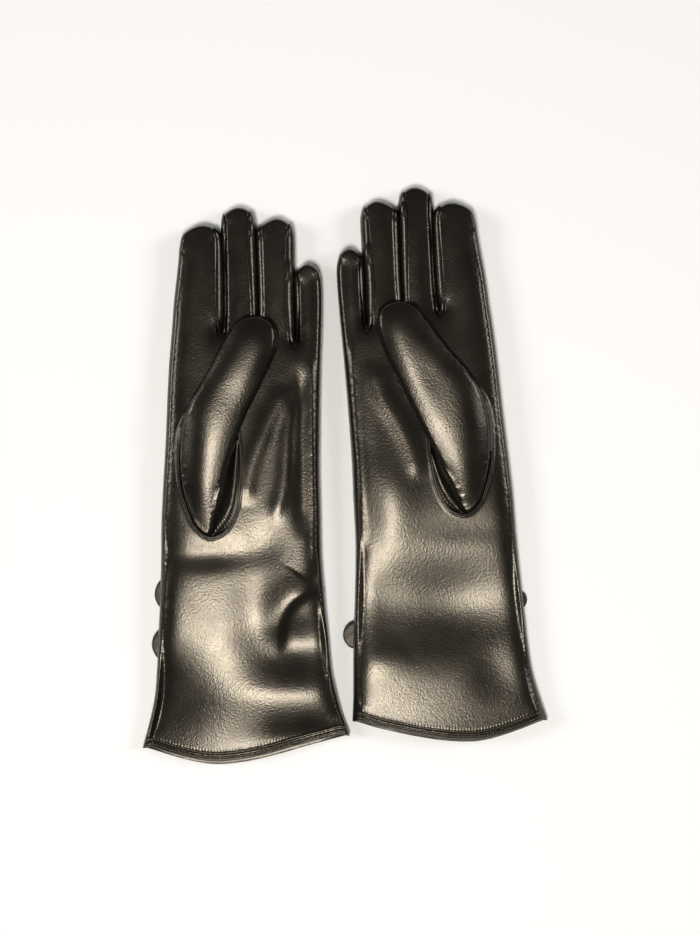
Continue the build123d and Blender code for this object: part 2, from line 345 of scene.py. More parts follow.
def vertex_normals(vertices: np.ndarray, faces: np.ndarray) -> np.ndarray:
    """The area-weighted unit normal of every vertex of a triangle mesh.

    Args:
        vertices: The points.
        faces: The triangles.

    Returns:
        One unit vector for each vertex.
    """
    a, b, c = (vertices[faces[:, i]] for i in range(3))
    normals = np.cross(b - a, c - a)
    total = np.zeros_like(vertices)
    for i in range(3):
        np.add.at(total, faces[:, i], normals)
    return total / np.maximum(np.linalg.norm(total, axis=1), 1e-12)[:, None]


def relaxed(values: np.ndarray, faces: np.ndarray, free: np.ndarray, rounds: int) -> np.ndarray:
    """Smooths a height over a mesh by averaging each free vertex with its neighbours.

    Args:
        values: The height of each vertex.
        faces: The triangles.
        free: How freely each vertex moves, from 0 to 1.
        rounds: How many times to average.

    Returns:
        The smoothed heights.
    """
    ends = np.vstack([faces[:, [0, 1]], faces[:, [1, 2]], faces[:, [2, 0]]])
    ends = np.vstack([ends, ends[:, ::-1]])
    count = np.bincount(ends[:, 0], minlength=len(values))
    for _ in range(rounds):
        mean = np.bincount(ends[:, 0], weights=values[ends[:, 1]], minlength=len(values)) / np.maximum(count, 1)
        values = values + free * (mean - values)
    return values


def solid(vertices: np.ndarray, faces: np.ndarray, normals: np.ndarray,
          thickness: float) -> tuple[np.ndarray, np.ndarray, np.ndarray]:
    """Gives a skin its thickness, inwards, and closes its rims.

    Args:
        vertices: The outer skin's points.
        faces: Its triangles.
        normals: Its unit normals.
        thickness: The thickness in the same unit.

    Returns:
        The points, triangles and normals of the closed solid.
    """
    count = len(vertices)
    ends = np.vstack([faces[:, [0, 1]], faces[:, [1, 2]], faces[:, [2, 0]]])
    code = ends[:, 0].astype(np.int64) * count + ends[:, 1]
    back = ends[:, 1].astype(np.int64) * count + ends[:, 0]
    rim = ends[~np.isin(code, back)]
    walls = np.vstack([
        np.column_stack([rim[:, 1], rim[:, 0], rim[:, 0] + count]),
        np.column_stack([rim[:, 1], rim[:, 0] + count, rim[:, 1] + count]),
    ])
    return (np.vstack([vertices, vertices - normals * thickness]),
            np.vstack([faces, faces[:, ::-1] + count, walls]),
            np.vstack([normals, -normals]))


def grid_faces(rows: int, columns: int, wrap: bool = False) -> np.ndarray:
    """The triangles of a grid of points.

    Args:
        rows: The number of rows.
        columns: The number of columns in a row.
        wrap: Whether the last column joins the first.

    Returns:
        Two triangles for each cell.
    """
    i, j = np.meshgrid(np.arange(rows - 1), np.arange(columns if wrap else columns - 1), indexing="ij")
    a = (i * columns + j).ravel()
    b = (i * columns + (j + 1) % columns).ravel()
    c, d = a + columns, b + columns
    return np.vstack([np.column_stack([a, b, d]), np.column_stack([a, d, c])])


def full_turn(count: int) -> np.ndarray:
    """Evenly spaced angles all the way round."""
    return np.linspace(0, 2 * pi, count, endpoint=False)


def linked(name: str, data: bpy.types.ID) -> bpy.types.Object:
    """A new object in the scene."""
    obj = bpy.data.objects.new(name, data)
    bpy.context.scene.collection.objects.link(obj)
    return obj


@dataclass(frozen=True)
class Place:
    """Where a glove lies: its origin in the pair's frame, in mm, and whether it is mirrored in x."""

    x: float
    y: float
    mirrored: bool

    def world(self, points: np.ndarray) -> np.ndarray:
        """Points of the glove's frame in the pair's frame, in metres."""
        moved = points * ((-1 if self.mirrored else 1), 1, 1)
        return (moved + (self.x, self.y, 0)) * MM

    def direction(self, vectors: np.ndarray) -> np.ndarray:
        """Directions of the glove's frame in the pair's frame."""
        return vectors * ((-1 if self.mirrored else 1), 1, 1)

    def point(self, x: float, y: float, z: float) -> tuple[float, float, float]:
        """One point of the glove's frame in the pair's frame, in metres."""
        return tuple(float(v) for v in self.world(np.array([[x, y, z]]))[0])


def new_piece(name: str, place: Place, vertices: np.ndarray, faces: np.ndarray, normals: np.ndarray | None,
              material: bpy.types.Material) -> bpy.types.Object:
    """Makes one piece's object from its triangles.

    Args:
        name: The piece's name.
        place: Where its glove lies.
        vertices: Its points in the glove's frame, in mm.
        faces: Its triangles.
        normals: Its smooth normals in the glove's frame, or None to take them from the triangles.
        material: Its finish.

    Returns:
        The new object, at the origin, with its place in its mesh.
    """
    used = np.unique(faces)
    index = np.zeros(len(vertices), int)
    index[used] = np.arange(len(used))
    points, triangles = place.world(vertices[used]), index[faces]
    if place.mirrored:
        triangles = triangles[:, ::-1]
    mesh = bpy.data.meshes.new(name)
    mesh.vertices.add(len(points))
    mesh.vertices.foreach_set("co", points.astype(np.float32).ravel())
    mesh.loops.add(triangles.size)
    mesh.loops.foreach_set("vertex_index", triangles.astype(np.int32).ravel())
    mesh.polygons.add(len(triangles))
    mesh.polygons.foreach_set("loop_start", np.arange(0, triangles.size, 3, dtype=np.int32))
    mesh.update(calc_edges=True)
    mesh.validate()
    mesh.polygons.foreach_set("use_smooth", np.ones(len(mesh.polygons), bool))
    if normals is not None and len(mesh.vertices) == len(points):
        mesh.normals_split_custom_set_from_vertices(place.direction(normals[used]).tolist())
    mesh.materials.append(material)
    return linked(name, mesh)


# ---- Finishes ------------------------------------------------------------------------------------------
def node(tree: bpy.types.NodeTree, kind: str, inputs: dict | None = None,
         **settings: object) -> bpy.types.Node:
    """Adds one node with its settings and its inputs.

    Args:
        tree: The tree that it joins.
        kind: The node's type name.
        inputs: For each input, by name or number, a value or the output socket to link from.
        **settings: The node's own properties.

    Returns:
        The new node.
    """
    made = tree.nodes.new(kind)
    for name, value in settings.items():
        setattr(made, name, value)
    for name, value in (inputs or {}).items():
        socket = made.inputs[name]
        if isinstance(value, bpy.types.NodeSocket):
            tree.links.new(value, socket)
        else:
            socket.default_value = value
    return made


def start_material(name: str) -> tuple[bpy.types.Material, bpy.types.NodeTree, bpy.types.Node, bpy.types.Node]:
    """A new material with its tree, its Principled shader and its object coordinates.

    Args:
        name: Its name.

    Returns:
        The material, its tree, its shader and its coordinates node.
    """
    material = bpy.data.materials.new(name)
    material.use_nodes = True
    tree = material.node_tree
    tree.nodes.clear()
    shader = node(tree, "ShaderNodeBsdfPrincipled")
    node(tree, "ShaderNodeOutputMaterial", {"Surface": shader.outputs["BSDF"]})
    place = node(tree, "ShaderNodeTexCoord")
    return material, tree, shader, place


@dataclass(frozen=True)
class Nappa:
    """Glazed lambskin nappa: drum-dyed through, sprayed with a thin clear glaze and ironed.

    The eye sees a near-black ground with a warm cast, a broad soft gloss, and a fine pebbled grain that makes the
    gloss sparkle.
    """

    name: str = "nappa"
    shade: str = "#0b0a08"
    lit: str = "#161411"
    # sheen is the warm specular tint that stands in for the lamp's warm colour: painted light colour in the gloss.
    sheen: str = "#fff2da"
    roughness: float = 0.25
    glaze: float = 0.12
    grain: float = 1.0  # mm across a grain cell, drawn coarser than the 0.5 mm of lamb so that it shows
    grain_depth: float = 0.064  # mm
    crease_depth: float = 0.05  # mm

    def build(self) -> bpy.types.Material:
        """Makes the material.

        Returns:
            The new material.
        """
        material, tree, shader, place = start_material(self.name)
        where = place.outputs["Object"]
        cloud = node(tree, "ShaderNodeTexNoise", {"Vector": where, "Scale": 1 / (18 * MM), "Detail": 3.0})
        tone = node(tree, "ShaderNodeMix", {0: cloud.outputs["Fac"], 6: linear(self.shade), 7: linear(self.lit)},
                    data_type="RGBA")
        cells = node(tree, "ShaderNodeTexVoronoi", {"Vector": where, "Scale": 1 / (self.grain * MM)},
                     feature="SMOOTH_F1")
        cells.inputs["Smoothness"].default_value = 0.6
        fine = node(tree, "ShaderNodeTexNoise",
                    {"Vector": where, "Scale": 1 / (self.grain * 1.1 * MM), "Detail": 1.0})
        stretch = node(tree, "ShaderNodeMapping", {"Vector": where, "Scale": (1.0, 0.35, 1.0)})
        creases = node(tree, "ShaderNodeTexNoise",
                       {"Vector": stretch.outputs[0], "Scale": 1 / (5 * MM), "Detail": 4.0, "Distortion": 0.6})
        gloss = node(tree, "ShaderNodeMapRange", {0: cloud.outputs["Fac"], 1: 0.3, 2: 0.7,
                                                  3: self.roughness - 0.03, 4: self.roughness + 0.04})
        grain = node(tree, "ShaderNodeMath", {0: cells.outputs["Distance"], 1: fine.outputs["Fac"]},
                     operation="ADD")
        soft = node(tree, "ShaderNodeBump", {"Height": creases.outputs["Fac"], "Distance": self.crease_depth * MM,
                                             "Strength": 0.5})
        bump = node(tree, "ShaderNodeBump", {"Height": grain.outputs[0], "Distance": self.grain_depth * MM,
                                             "Strength": 0.8, "Normal": soft.outputs[0]})
        tree.links.new(tone.outputs[2], shader.inputs["Base Color"])
        tree.links.new(gloss.outputs[0], shader.inputs["Roughness"])
        tree.links.new(bump.outputs[0], shader.inputs["Normal"])
        shader.inputs["IOR"].default_value = 1.5
        shader.inputs["Coat Weight"].default_value = self.glaze
        shader.inputs["Coat Roughness"].default_value = 0.22
        # Painted light: the warm tint that the lamp's colour would give the highlights.
        shader.inputs["Specular Tint"].default_value = linear(self.sheen)
        return material


@dataclass(frozen=True)
class Thread:
    """Waxed polyester sewing thread: tight, round and slightly shiny, with a fine twist."""

    name: str = "thread"
    # A light grey-brown, so that the stitches show as bright dots: partly the thread's own colour, partly a
    # painted highlight.
    colour: str = "#5c5547"
    roughness: float = 0.38
    twist: float = 0.35  # mm between two turns of the ply

    def build(self) -> bpy.types.Material:
        """Makes the material.

        Returns:
            The new material.
        """
        material, tree, shader, place = start_material(self.name)
        ply = node(tree, "ShaderNodeTexWave",
                   {"Vector": place.outputs["Object"], "Scale": 0.314 / (self.twist * MM)},
                   bands_direction="DIAGONAL")
        bump = node(tree, "ShaderNodeBump", {"Height": ply.outputs["Fac"], "Distance": 0.05 * MM, "Strength": 0.5})
        tree.links.new(bump.outputs[0], shader.inputs["Normal"])
        shader.inputs["Base Color"].default_value = linear(self.colour)
        shader.inputs["Roughness"].default_value = self.roughness
        return material


@dataclass(frozen=True)
class SilkKnit:
    """Fine knitted silk lining: dull, soft, with ribs of tiny stitches running up the arm."""

    name: str = "silk_knit"
    # The valleys are painted darker than the ribs that the same pattern raises: painted shade in the knit's
    # hollows.
    valley: str = "#0f0e0e"
    rib: str = "#2b2927"
    pitch: float = 0.9  # mm between two wales, drawn coarser than the real 0.5 mm so that the ribs show

    def build(self) -> bpy.types.Material:
        """Makes the material.

        Returns:
            The new material.
        """
        material, tree, shader, place = start_material(self.name)
        where = place.outputs["Object"]
        wales = node(tree, "ShaderNodeTexWave", {"Vector": where, "Scale": 0.314 / (self.pitch * MM),
                                                 "Distortion": 0.4, "Detail": 1.0}, bands_direction="X")
        courses = node(tree, "ShaderNodeTexWave", {"Vector": where, "Scale": 0.314 / (self.pitch * 0.8 * MM)},
                       bands_direction="Y")
        both = node(tree, "ShaderNodeMath", {0: wales.outputs["Fac"], 1: courses.outputs["Fac"]},
                    operation="MULTIPLY")
        # Painted shade: the colour darkens where the knit's bump sinks.
        tone = node(tree, "ShaderNodeMix", {0: both.outputs[0], 6: linear(self.valley), 7: linear(self.rib)},
                    data_type="RGBA")
        bump = node(tree, "ShaderNodeBump", {"Height": both.outputs[0], "Distance": 0.15 * MM, "Strength": 0.7})
        tree.links.new(tone.outputs[2], shader.inputs["Base Color"])
        tree.links.new(bump.outputs[0], shader.inputs["Normal"])
        shader.inputs["Roughness"].default_value = 0.8
        shader.inputs["Sheen Weight"].default_value = 0.3
        return material


# ---- The glove's pattern -------------------------------------------------------------------------------
STEP = 0.8  # mm between two samples along an outline
LEATHER = 0.8  # mm thick
LEAN = 4.0  # degrees that the fingers lean towards the little finger
PALM_HEM = 2.6  # mm that the palm's hem ends above the back's
STITCH_LINES = (4.6, 1.9)  # mm above the hem's edge
EDGE_OFFSETS = (0.3, 0.75, 1.4, 2.2, 3.1)  # mm from the rolled edge to the rows of points beside it
SEAM_OFFSETS = (0.3, 0.7, 1.2)
HEM_OFFSETS = (0.35, 0.8, 1.3, 1.8, 2.3, 2.8, 3.4, 4.1, 4.6, 5.1)
HOLE_OFFSETS = (0.3, 0.6, 1.0, 1.5, 2.1)
THUMB_OFFSETS = (0.3, 0.8, 1.5, 2.4, 3.4)
SHEET_PITCH = 1.15  # mm between two points in the open leather of the palm and the back
HEM_BAND = 5.0  # mm above the hem, and either side of that, where the points lie twice as close
THUMB_PITCH = 1.1
UNDER_PITCH = 1.6  # the same under the thumb, where it barely shows
FACING = 0.6  # mm thick
KNIT = 0.4  # mm thick
THUMB_KNIT = 0.5
THUMB_LINING_DEPTH = 1.05  # mm from the thumb's outer skin to its lining
LINING_DEPTH = 1.9  # mm from the hand's outer skin to its lining
SLEEVE_COLUMNS = 40  # points round a finger's lining
WELT_RADIUS = 0.6
WELT_LIFT = 0.75  # mm from the palm's skin to the middle of the welt


class Side(Enum):
    """The hand that a glove is for."""

    LEFT = "left"
    RIGHT = "right"


@dataclass(frozen=True)
class Finger:
    """One finger: the points of its rounded end, its bending knuckle and the middle of the finger there."""

    name: str
    end: tuple
    knuckle: float
    middle: float


@dataclass(frozen=True)
class Gap:
    """The gap between two fingers: its closed slit, and the seam where the front's leather ends inside it."""

    slit: tuple
    seam: tuple


FINGERS = (
    Finger("index", ((-31.0, 300.5), (-28.6, 307.3), (-18.4, 312.2), (-10.6, 310.2)), 264.0, -21.7),
    Finger("middle", ((-4.6, 317.6), (3.2, 321.7), (10.4, 319.0)), 268.0, 2.3),
    Finger("ring", ((15.4, 309.6), (25.6, 314.6), (32.8, 311.0)), 265.0, 22.3),
    Finger("little", ((36.4, 283.6), (42.2, 287.8), (47.6, 285.2)), 254.0, 40.8),
)
GAPS = (
    Gap(slit=((-7.2, 305.5), (-6.5, 300.0), (-6.5, 270.0), (-7.1, 258.0), (-8.7, 250.4), (-8.1, 249.8),
              (-6.9, 257.0), (-6.0, 270.0), (-5.9, 300.0), (-5.9, 312.0)),
        seam=((-9.4, 303.0), (-10.1, 280.0), (-10.7, 256.0), (-9.9, 248.3), (-8.0, 246.2), (-6.2, 249.0),
              (-5.1, 262.0), (-4.4, 290.0), (-3.9, 312.0))),
    Gap(slit=((12.6, 312.5), (13.0, 300.0), (12.9, 270.0), (12.5, 256.5), (12.3, 252.4), (12.9, 252.4),
              (13.2, 256.5), (13.6, 270.0), (13.6, 300.0), (13.8, 305.5)),
        seam=((9.3, 313.5), (8.7, 302.0), (9.6, 270.0), (10.0, 256.0), (11.0, 250.4), (13.0, 248.6), (15.0, 251.0),
              (15.9, 260.0), (16.4, 285.0), (16.3, 304.5))),
    Gap(slit=((34.6, 306.0), (34.9, 300.0), (34.0, 270.0), (33.9, 252.0), (33.4, 243.2), (34.0, 243.2),
              (34.6, 252.0), (34.7, 270.0), (35.0, 280.0)),
        seam=((31.5, 306.0), (30.9, 295.0), (29.0, 267.0), (30.2, 248.0), (31.8, 241.0), (33.7, 238.8),
              (35.5, 242.0), (36.6, 256.0), (37.0, 268.0), (36.7, 279.0))),
)
THUMB_SIDE = (
    (-57.6, 28.4), (-54.7, 40.4), (-52.9, 55.0), (-51.3, 75.0), (-49.7, 95.0), (-48.2, 118.0), (-47.1, 142.0),
    (-45.1, 166.0), (-42.9, 190.0), (-41.1, 214.0), (-39.3, 234.0), (-37.3, 251.0), (-35.5, 268.0), (-33.6, 281.0),
    (-32.0, 292.5),
)
LITTLE_SIDE = (
    (49.9, 279.0), (50.3, 268.0), (49.5, 250.0), (48.4, 232.0), (47.4, 214.0), (46.3, 190.0), (45.4, 166.0),
    (45.2, 142.0), (44.9, 118.0), (45.9, 94.0), (47.4, 70.0), (48.5, 52.0),
)
THUMB_HOLE = (
    (-19.6, 132.2), (-10.4, 134.8), (-3.8, 145.0), (-0.6, 160.0), (0.3, 178.0), (-1.6, 195.0), (-9.0, 206.5),
    (-18.0, 210.5), (-27.0, 206.0), (-33.2, 195.5), (-35.2, 181.0), (-34.4, 160.0), (-30.6, 145.5), (-27.4, 138.4),
)


@dataclass(frozen=True)
class Fold:
    """A soft ridge or hollow of the leather along a line; its two flanks may differ in width."""

    line: tuple
    height: float
    left: float
    right: float
    fade: float = 10.0

    def rise(self, points: np.ndarray) -> np.ndarray:
        """How far the fold lifts each point, in mm.

        Args:
            points: The points to measure.

        Returns:
            The lift of each point.
        """
        path = smooth_line(self.line, 1.5)[0]
        at = near(path, points)
        length = float(np.linalg.norm(np.diff(path, axis=0), axis=1).sum())
        width = np.where(at.side > 0, self.left, self.right)
        ends = ease(at.along, 0.0, self.fade) * ease(at.along, length, length - self.fade)
        return self.height * np.exp(-(at.distance / width) ** 2) * ends


@dataclass(frozen=True)
class Swell:
    """A broad swell or dent of the leather."""

    x: float
    y: float
    half_x: float
    half_y: float
    height: float

    def rise(self, points: np.ndarray) -> np.ndarray:
        """How far the swell lifts each point, in mm."""
        dx, dy = (points[:, 0] - self.x) / self.half_x, (points[:, 1] - self.y) / self.half_y
        return self.height * np.exp(-(dx * dx + dy * dy))


@dataclass(frozen=True)
class Lie:
    """How one glove of the pair lies: its hem corner, its thumb and the folds of its palm."""

    side: Side
    hem: tuple
    cuff_little: tuple
    thumb: tuple
    thumb_tip: int
    thumb_mouth: float  # y beyond which the thumb lies free over the palm
    thumb_bend: float  # x of the thumb's middle line where it turns
    folds: tuple


LIES = (
    Lie(
        side=Side.LEFT,
        hem=((57.4, 14.8), (34.2, 9.4), (5.2, 2.6), (-12.0, 0.4), (-24.0, 0.5), (-40.6, 4.2), (-62.6, 11.8)),
        cuff_little=((50.5, 40.0), (53.4, 27.0)),
        thumb=((-19.8, 133.2), (-14.2, 147.0), (-5.9, 176.2), (4.7, 201.7), (13.9, 218.6), (23.6, 240.0),
               (22.9, 251.5), (14.0, 258.2), (2.2, 255.6), (-7.5, 242.4), (-17.3, 225.5), (-27.8, 208.6),
               (-33.2, 194.0), (-34.7, 178.0), (-33.6, 160.0), (-29.9, 146.0), (-26.4, 138.2)),
        thumb_tip=7,
        thumb_mouth=186.0,
        thumb_bend=-16.0,
        folds=(
            Fold(((43.6, 236.0), (42.8, 200.0), (42.4, 165.0), (41.8, 135.0), (40.6, 112.0)), 0.8, 1.6, 2.0, 14.0),
            Fold(((36.5, 232.0), (35.5, 200.0), (35.0, 165.0), (34.5, 128.0)), -1.3, 4.0, 5.0, 18.0),
            Fold(((41.5, 113.0), (39.0, 104.0), (33.0, 99.0), (26.5, 94.5), (21.5, 88.0), (18.4, 80.0),
                  (16.9, 70.0), (15.0, 58.0)), 1.6, 4.0, 11.0, 24.0),
            Fold(((30.1, 218.6), (19.7, 202.3), (12.3, 187.0), (7.2, 174.5), (3.3, 158.6), (2.0, 148.0)),
                 1.1, 5.0, 6.0, 12.0),
            Fold(((35.6, 213.2), (29.2, 193.3), (26.8, 173.9), (24.5, 160.1), (17.5, 136.8)), 0.9, 4.0, 5.0, 14.0),
            Swell(28.0, 68.0, 27.0, 18.0, -4.6),
            Swell(26.0, 41.0, 36.0, 12.0, 0.9),
            Swell(-60.0, 36.0, 33.0, 28.0, -5.6),
            Swell(34.0, 14.0, 26.0, 10.0, -2.4),
            Swell(6.0, 98.0, 14.0, 24.0, -1.0),
            Swell(-22.0, 122.0, 28.0, 8.0, -1.2),
            Swell(-42.0, 128.0, 8.0, 20.0, -0.8),
            Swell(12.0, 128.0, 12.0, 12.0, -0.8),
        ),
    ),
    Lie(
        side=Side.RIGHT,
        hem=((50.2, 14.9), (34.2, 9.4), (5.2, 2.6), (-12.0, 0.4), (-24.0, 0.5), (-40.6, 4.2), (-62.6, 11.8)),
        cuff_little=((48.9, 40.0), (49.4, 27.0)),
        thumb=((-19.8, 133.2), (-12.4, 147.0), (2.0, 177.0), (15.4, 206.0), (23.4, 223.5), (28.4, 241.5),
               (26.8, 250.5), (17.3, 255.9), (6.6, 252.8), (0.4, 245.3), (-10.5, 229.4), (-21.5, 215.8),
               (-29.7, 202.9), (-34.4, 188.0), (-34.9, 172.0), (-33.0, 158.0), (-29.9, 146.0), (-26.4, 138.2)),
        thumb_tip=7,
        thumb_mouth=168.0,
        thumb_bend=-12.0,
        folds=(
            Fold(((43.6, 236.0), (42.8, 200.0), (41.8, 165.0), (40.8, 135.0), (40.6, 112.0)), 0.7, 1.6, 2.2, 14.0),
            Fold(((33.0, 224.0), (27.0, 203.0), (18.0, 186.0), (11.0, 170.0), (6.0, 150.0)), 1.0, 5.0, 7.0, 14.0),
            Swell(22.0, 148.0, 15.0, 20.0, 1.4),
            Swell(36.0, 128.0, 9.0, 22.0, -1.0),
            Swell(-6.0, -20.0, 80.0, 48.0, 5.4),
            Swell(-8.0, 80.0, 52.0, 27.0, -5.2),
            Swell(34.0, 86.0, 18.0, 24.0, -1.2),
            Swell(-34.0, 40.0, 14.0, 14.0, -1.2),
            Swell(30.0, 50.0, 16.0, 9.0, 0.7),
            Swell(-22.0, 124.0, 28.0, 9.0, -0.6),
        ),
    ),
)


@dataclass
class Pattern:
    """The outlines of one glove, worked out from its lie."""

    lie: Lie

    def __post_init__(self) -> None:
        """Draws the joined silhouette, the hem, the seams and the thumb."""
        lie = self.lie
        points = [lie.hem[-1], *THUMB_SIDE]
        spans: dict[str, tuple[int, int]] = {}
        for i, finger in enumerate(FINGERS):
            first = len(points)
            points += finger.end
            spans[finger.name] = (first, len(points) - 1)
            if i < len(GAPS):
                points += GAPS[i].slit
        points += [*LITTLE_SIDE, *lie.cuff_little, lie.hem[0]]
        self.silhouette, marks = smooth_line(points, STEP)
        self.hem = smooth_line(lie.hem, STEP)[0]
        ends = {name: (marks[a], marks[b]) for name, (a, b) in spans.items()}
        self.thumb_side = self.silhouette[:ends["index"][0] + 1]
        self.little_side = self.silhouette[ends["little"][1]:]
        self.tips = [self.silhouette[a:b + 1] for a, b in ends.values()]
        self.slits, self.seams = [], []
        outline = [self.silhouette[:ends["index"][1]]]
        for i, gap in enumerate(GAPS):
            start, stop = ends[FINGERS[i].name][1], ends[FINGERS[i + 1].name][0]
            corner, next_corner = self.silhouette[start], self.silhouette[stop]
            seam = smooth_line([corner, *gap.seam, next_corner], STEP)[0]
            self.slits.append(self.silhouette[start:stop + 1])
            self.seams.append(seam)
            outline.append(seam[:-1])
            last = ends[FINGERS[i + 1].name][1] if i + 1 < len(GAPS) else len(self.silhouette)
            outline.append(self.silhouette[stop:last])
        self.outline = np.vstack([*outline, self.hem[1:-1]])
        self.thumb = smooth_loop(lie.thumb, STEP)
        self.hole = smooth_loop(THUMB_HOLE, STEP)

    def width_at(self, y: np.ndarray) -> tuple[np.ndarray, np.ndarray]:
        """The x of the thumb's and the little finger's edge at a height along the glove."""
        thumb, little = self.thumb_side, self.little_side[::-1]
        return np.interp(y, thumb[:, 1], thumb[:, 0]), np.interp(y, little[:, 1], little[:, 0])

    def hem_y(self, x: np.ndarray) -> np.ndarray:
        """The height of the hem's edge at a place across the glove."""
        hem = self.hem[::-1]
        return np.interp(x, hem[:, 0], hem[:, 1])

    def palm_hem_y(self, x: np.ndarray) -> np.ndarray:
        """The height of the palm's hem, which meets the back's hem at both corners."""
        low, high = self.hem[:, 0].min(), self.hem[:, 0].max()
        return self.hem_y(x) + PALM_HEM * ease(np.minimum(x - low, high - x), 0.0, 6.0)

    def knuckle_cut(self, finger: Finger) -> np.ndarray:
        """The line across a finger where it bends, from edge to edge of its front.

        Args:
            finger: The finger.

        Returns:
            The line's samples, with its ends on the outline.
        """
        close = np.abs(self.outline[:, 1] - finger.knuckle) < 2.0
        spots = self.outline[close]
        left = spots[spots[:, 0] < finger.middle]
        left = left[np.argsort(np.abs(left[:, 0] - finger.middle))][:12]
        right = spots[spots[:, 0] > finger.middle]
        right = right[np.argsort(np.abs(right[:, 0] - finger.middle))][:12]
        slope = -sin(radians(LEAN))
        ends = []
        for side in (left, right):
            line_y = finger.knuckle + slope * (side[:, 0] - finger.middle)
            ends.append(side[int(np.argmin(np.abs(side[:, 1] - line_y)))])
        count = max(3, round(hypot(*(ends[1] - ends[0])) / STEP))
        t = np.linspace(0, 1, count + 1)[:, None]
        return ends[0] * (1 - t) + ends[1] * t


@dataclass
class Relief:
    """The heights of one glove's palm and back over its outline, in mm above the table."""

    pattern: Pattern
    edge_radius: float = 6.2  # of the rolled side edges and fingers
    tip_radius: float = 2.8  # of the fingertips' ends
    seam_dip: float = 0.42
    seam_width: float = 0.62

    def radius(self, points: np.ndarray) -> np.ndarray:
        """The radius of the rolled edge near each point: smaller round the fingertips."""
        away = np.min([near(tip, points).distance for tip in self.pattern.tips], axis=0)
        return self.tip_radius + (self.edge_radius - self.tip_radius) * ease(away, 3.0, 9.0)

    def middle(self, y: np.ndarray) -> np.ndarray:
        """The height of the side edges."""
        return 5.0 + 1.5 * ease(y, 20.0, 240.0)

    def crest(self, y: np.ndarray) -> np.ndarray:
        """The height of the palm along its middle."""
        return np.interp(y, [0, 15, 40, 80, 120, 180, 225, 250, 290, 322],
                         [8.6, 9.2, 11.2, 12.9, 13.4, 13.6, 13.3, 13.0, 12.6, 12.0])

    def floor(self, y: np.ndarray) -> np.ndarray:
        """The height of the back: on the table, and up over the bow."""
        return 0.35 + 3.1 * ease(y, 38.0, 50.0) * ease(y, 134.0, 120.0)

    def seam_distance(self, points: np.ndarray) -> np.ndarray:
        """The distance to the nearest fourchette seam."""
        return np.min([near(seam, points).distance for seam in self.pattern.seams], axis=0)

    def palm(self, points: np.ndarray, faces: np.ndarray) -> np.ndarray:
        """The height of every point of the palm's leather.

        Args:
            points: The points of the flat cut.
            faces: Its triangles.

        Returns:
            The height of each point.
        """
        edge = near(self.pattern.silhouette, points)
        y = points[:, 1]
        side = self.middle(y)
        height = side + (self.crest(y) - side) * quarter_round(edge.distance, self.radius(points))
        height += 0.5 * (1 - bell(edge.distance, 11.0))
        height = relaxed(height, faces, 0.8 * ease(edge.distance, 2.0, 5.0), 30)
        calm = ease(edge.distance, 1.0, 5.0)
        for fold in self.pattern.lie.folds:
            height += fold.rise(points) * calm
        height -= self.seam_dip * bell(self.seam_distance(points), self.seam_width)
        height += self.side_seam(points)
        height += self.hole_rim(points)
        height += self.hem_rolls(points, self.pattern.palm_hem_y(points[:, 0]))
        return height

    def side_seam(self, points: np.ndarray) -> np.ndarray:
        """The double line and the welt of the side seam beside the thumb's edge.

        Args:
            points: The points to measure.

        Returns:
            How far each point rises.
        """
        at = near(self.pattern.thumb_side, points)
        reach = ease(points[:, 1], 14.0, 26.0) * ease(points[:, 1], 285.0, 262.0)
        return reach * (0.2 * bell(at.distance - 2.1, 0.45) - 0.3 * bell(at.distance - 1.2, 0.35)
                        - 0.35 * bell(at.distance - 3.1, 0.4))

    def hole_rim(self, points: np.ndarray) -> np.ndarray:
        """The turned rim of the thumb's hole: a thin bead that drops into the hole."""
        at = near(closed(self.pattern.hole), points)
        return 0.45 * bell(at.distance - 0.9, 0.5) - 1.1 * bell(at.distance, 0.45)

    def hem_rolls(self, points: np.ndarray, edge: np.ndarray) -> np.ndarray:
        """The rolled edge and the stitched bead of a hem.

        Args:
            points: The points to shape.
            edge: The y of the hem's edge below each point.

        Returns:
            How far each point moves outwards.
        """
        q = points[:, 1] - edge
        return (-0.9 * bell(q, 0.55) + 0.3 * bell(q - 1.0, 0.7) - 0.5 * bell(q - 2.3, 0.4)
                + 0.25 * bell(q - 3.3, 0.9) - 0.4 * bell(q - 4.6, 0.5)
                + 0.09 * bell(q - 5.9, 1.0) * np.sin(points[:, 0] * 2 * pi / 1.75))

    def back(self, points: np.ndarray, faces: np.ndarray) -> np.ndarray:
        """The height of every point of the back's leather.

        Args:
            points: The points of the flat cut.
            faces: Its triangles.

        Returns:
            The height of each point.
        """
        edge = near(self.pattern.silhouette, points)
        y = points[:, 1]
        side = self.middle(y)
        height = side - (side - self.floor(y)) * quarter_round(edge.distance, self.radius(points))
        height = relaxed(height, faces, 0.8 * ease(edge.distance, 2.0, 5.0), 20)
        height += 0.7 * self.seam_dip * bell(self.seam_distance(points), self.seam_width)
        height -= 0.6 * self.hem_rolls(points, self.pattern.hem_y(points[:, 0]))
        return np.maximum(height, 0.12)


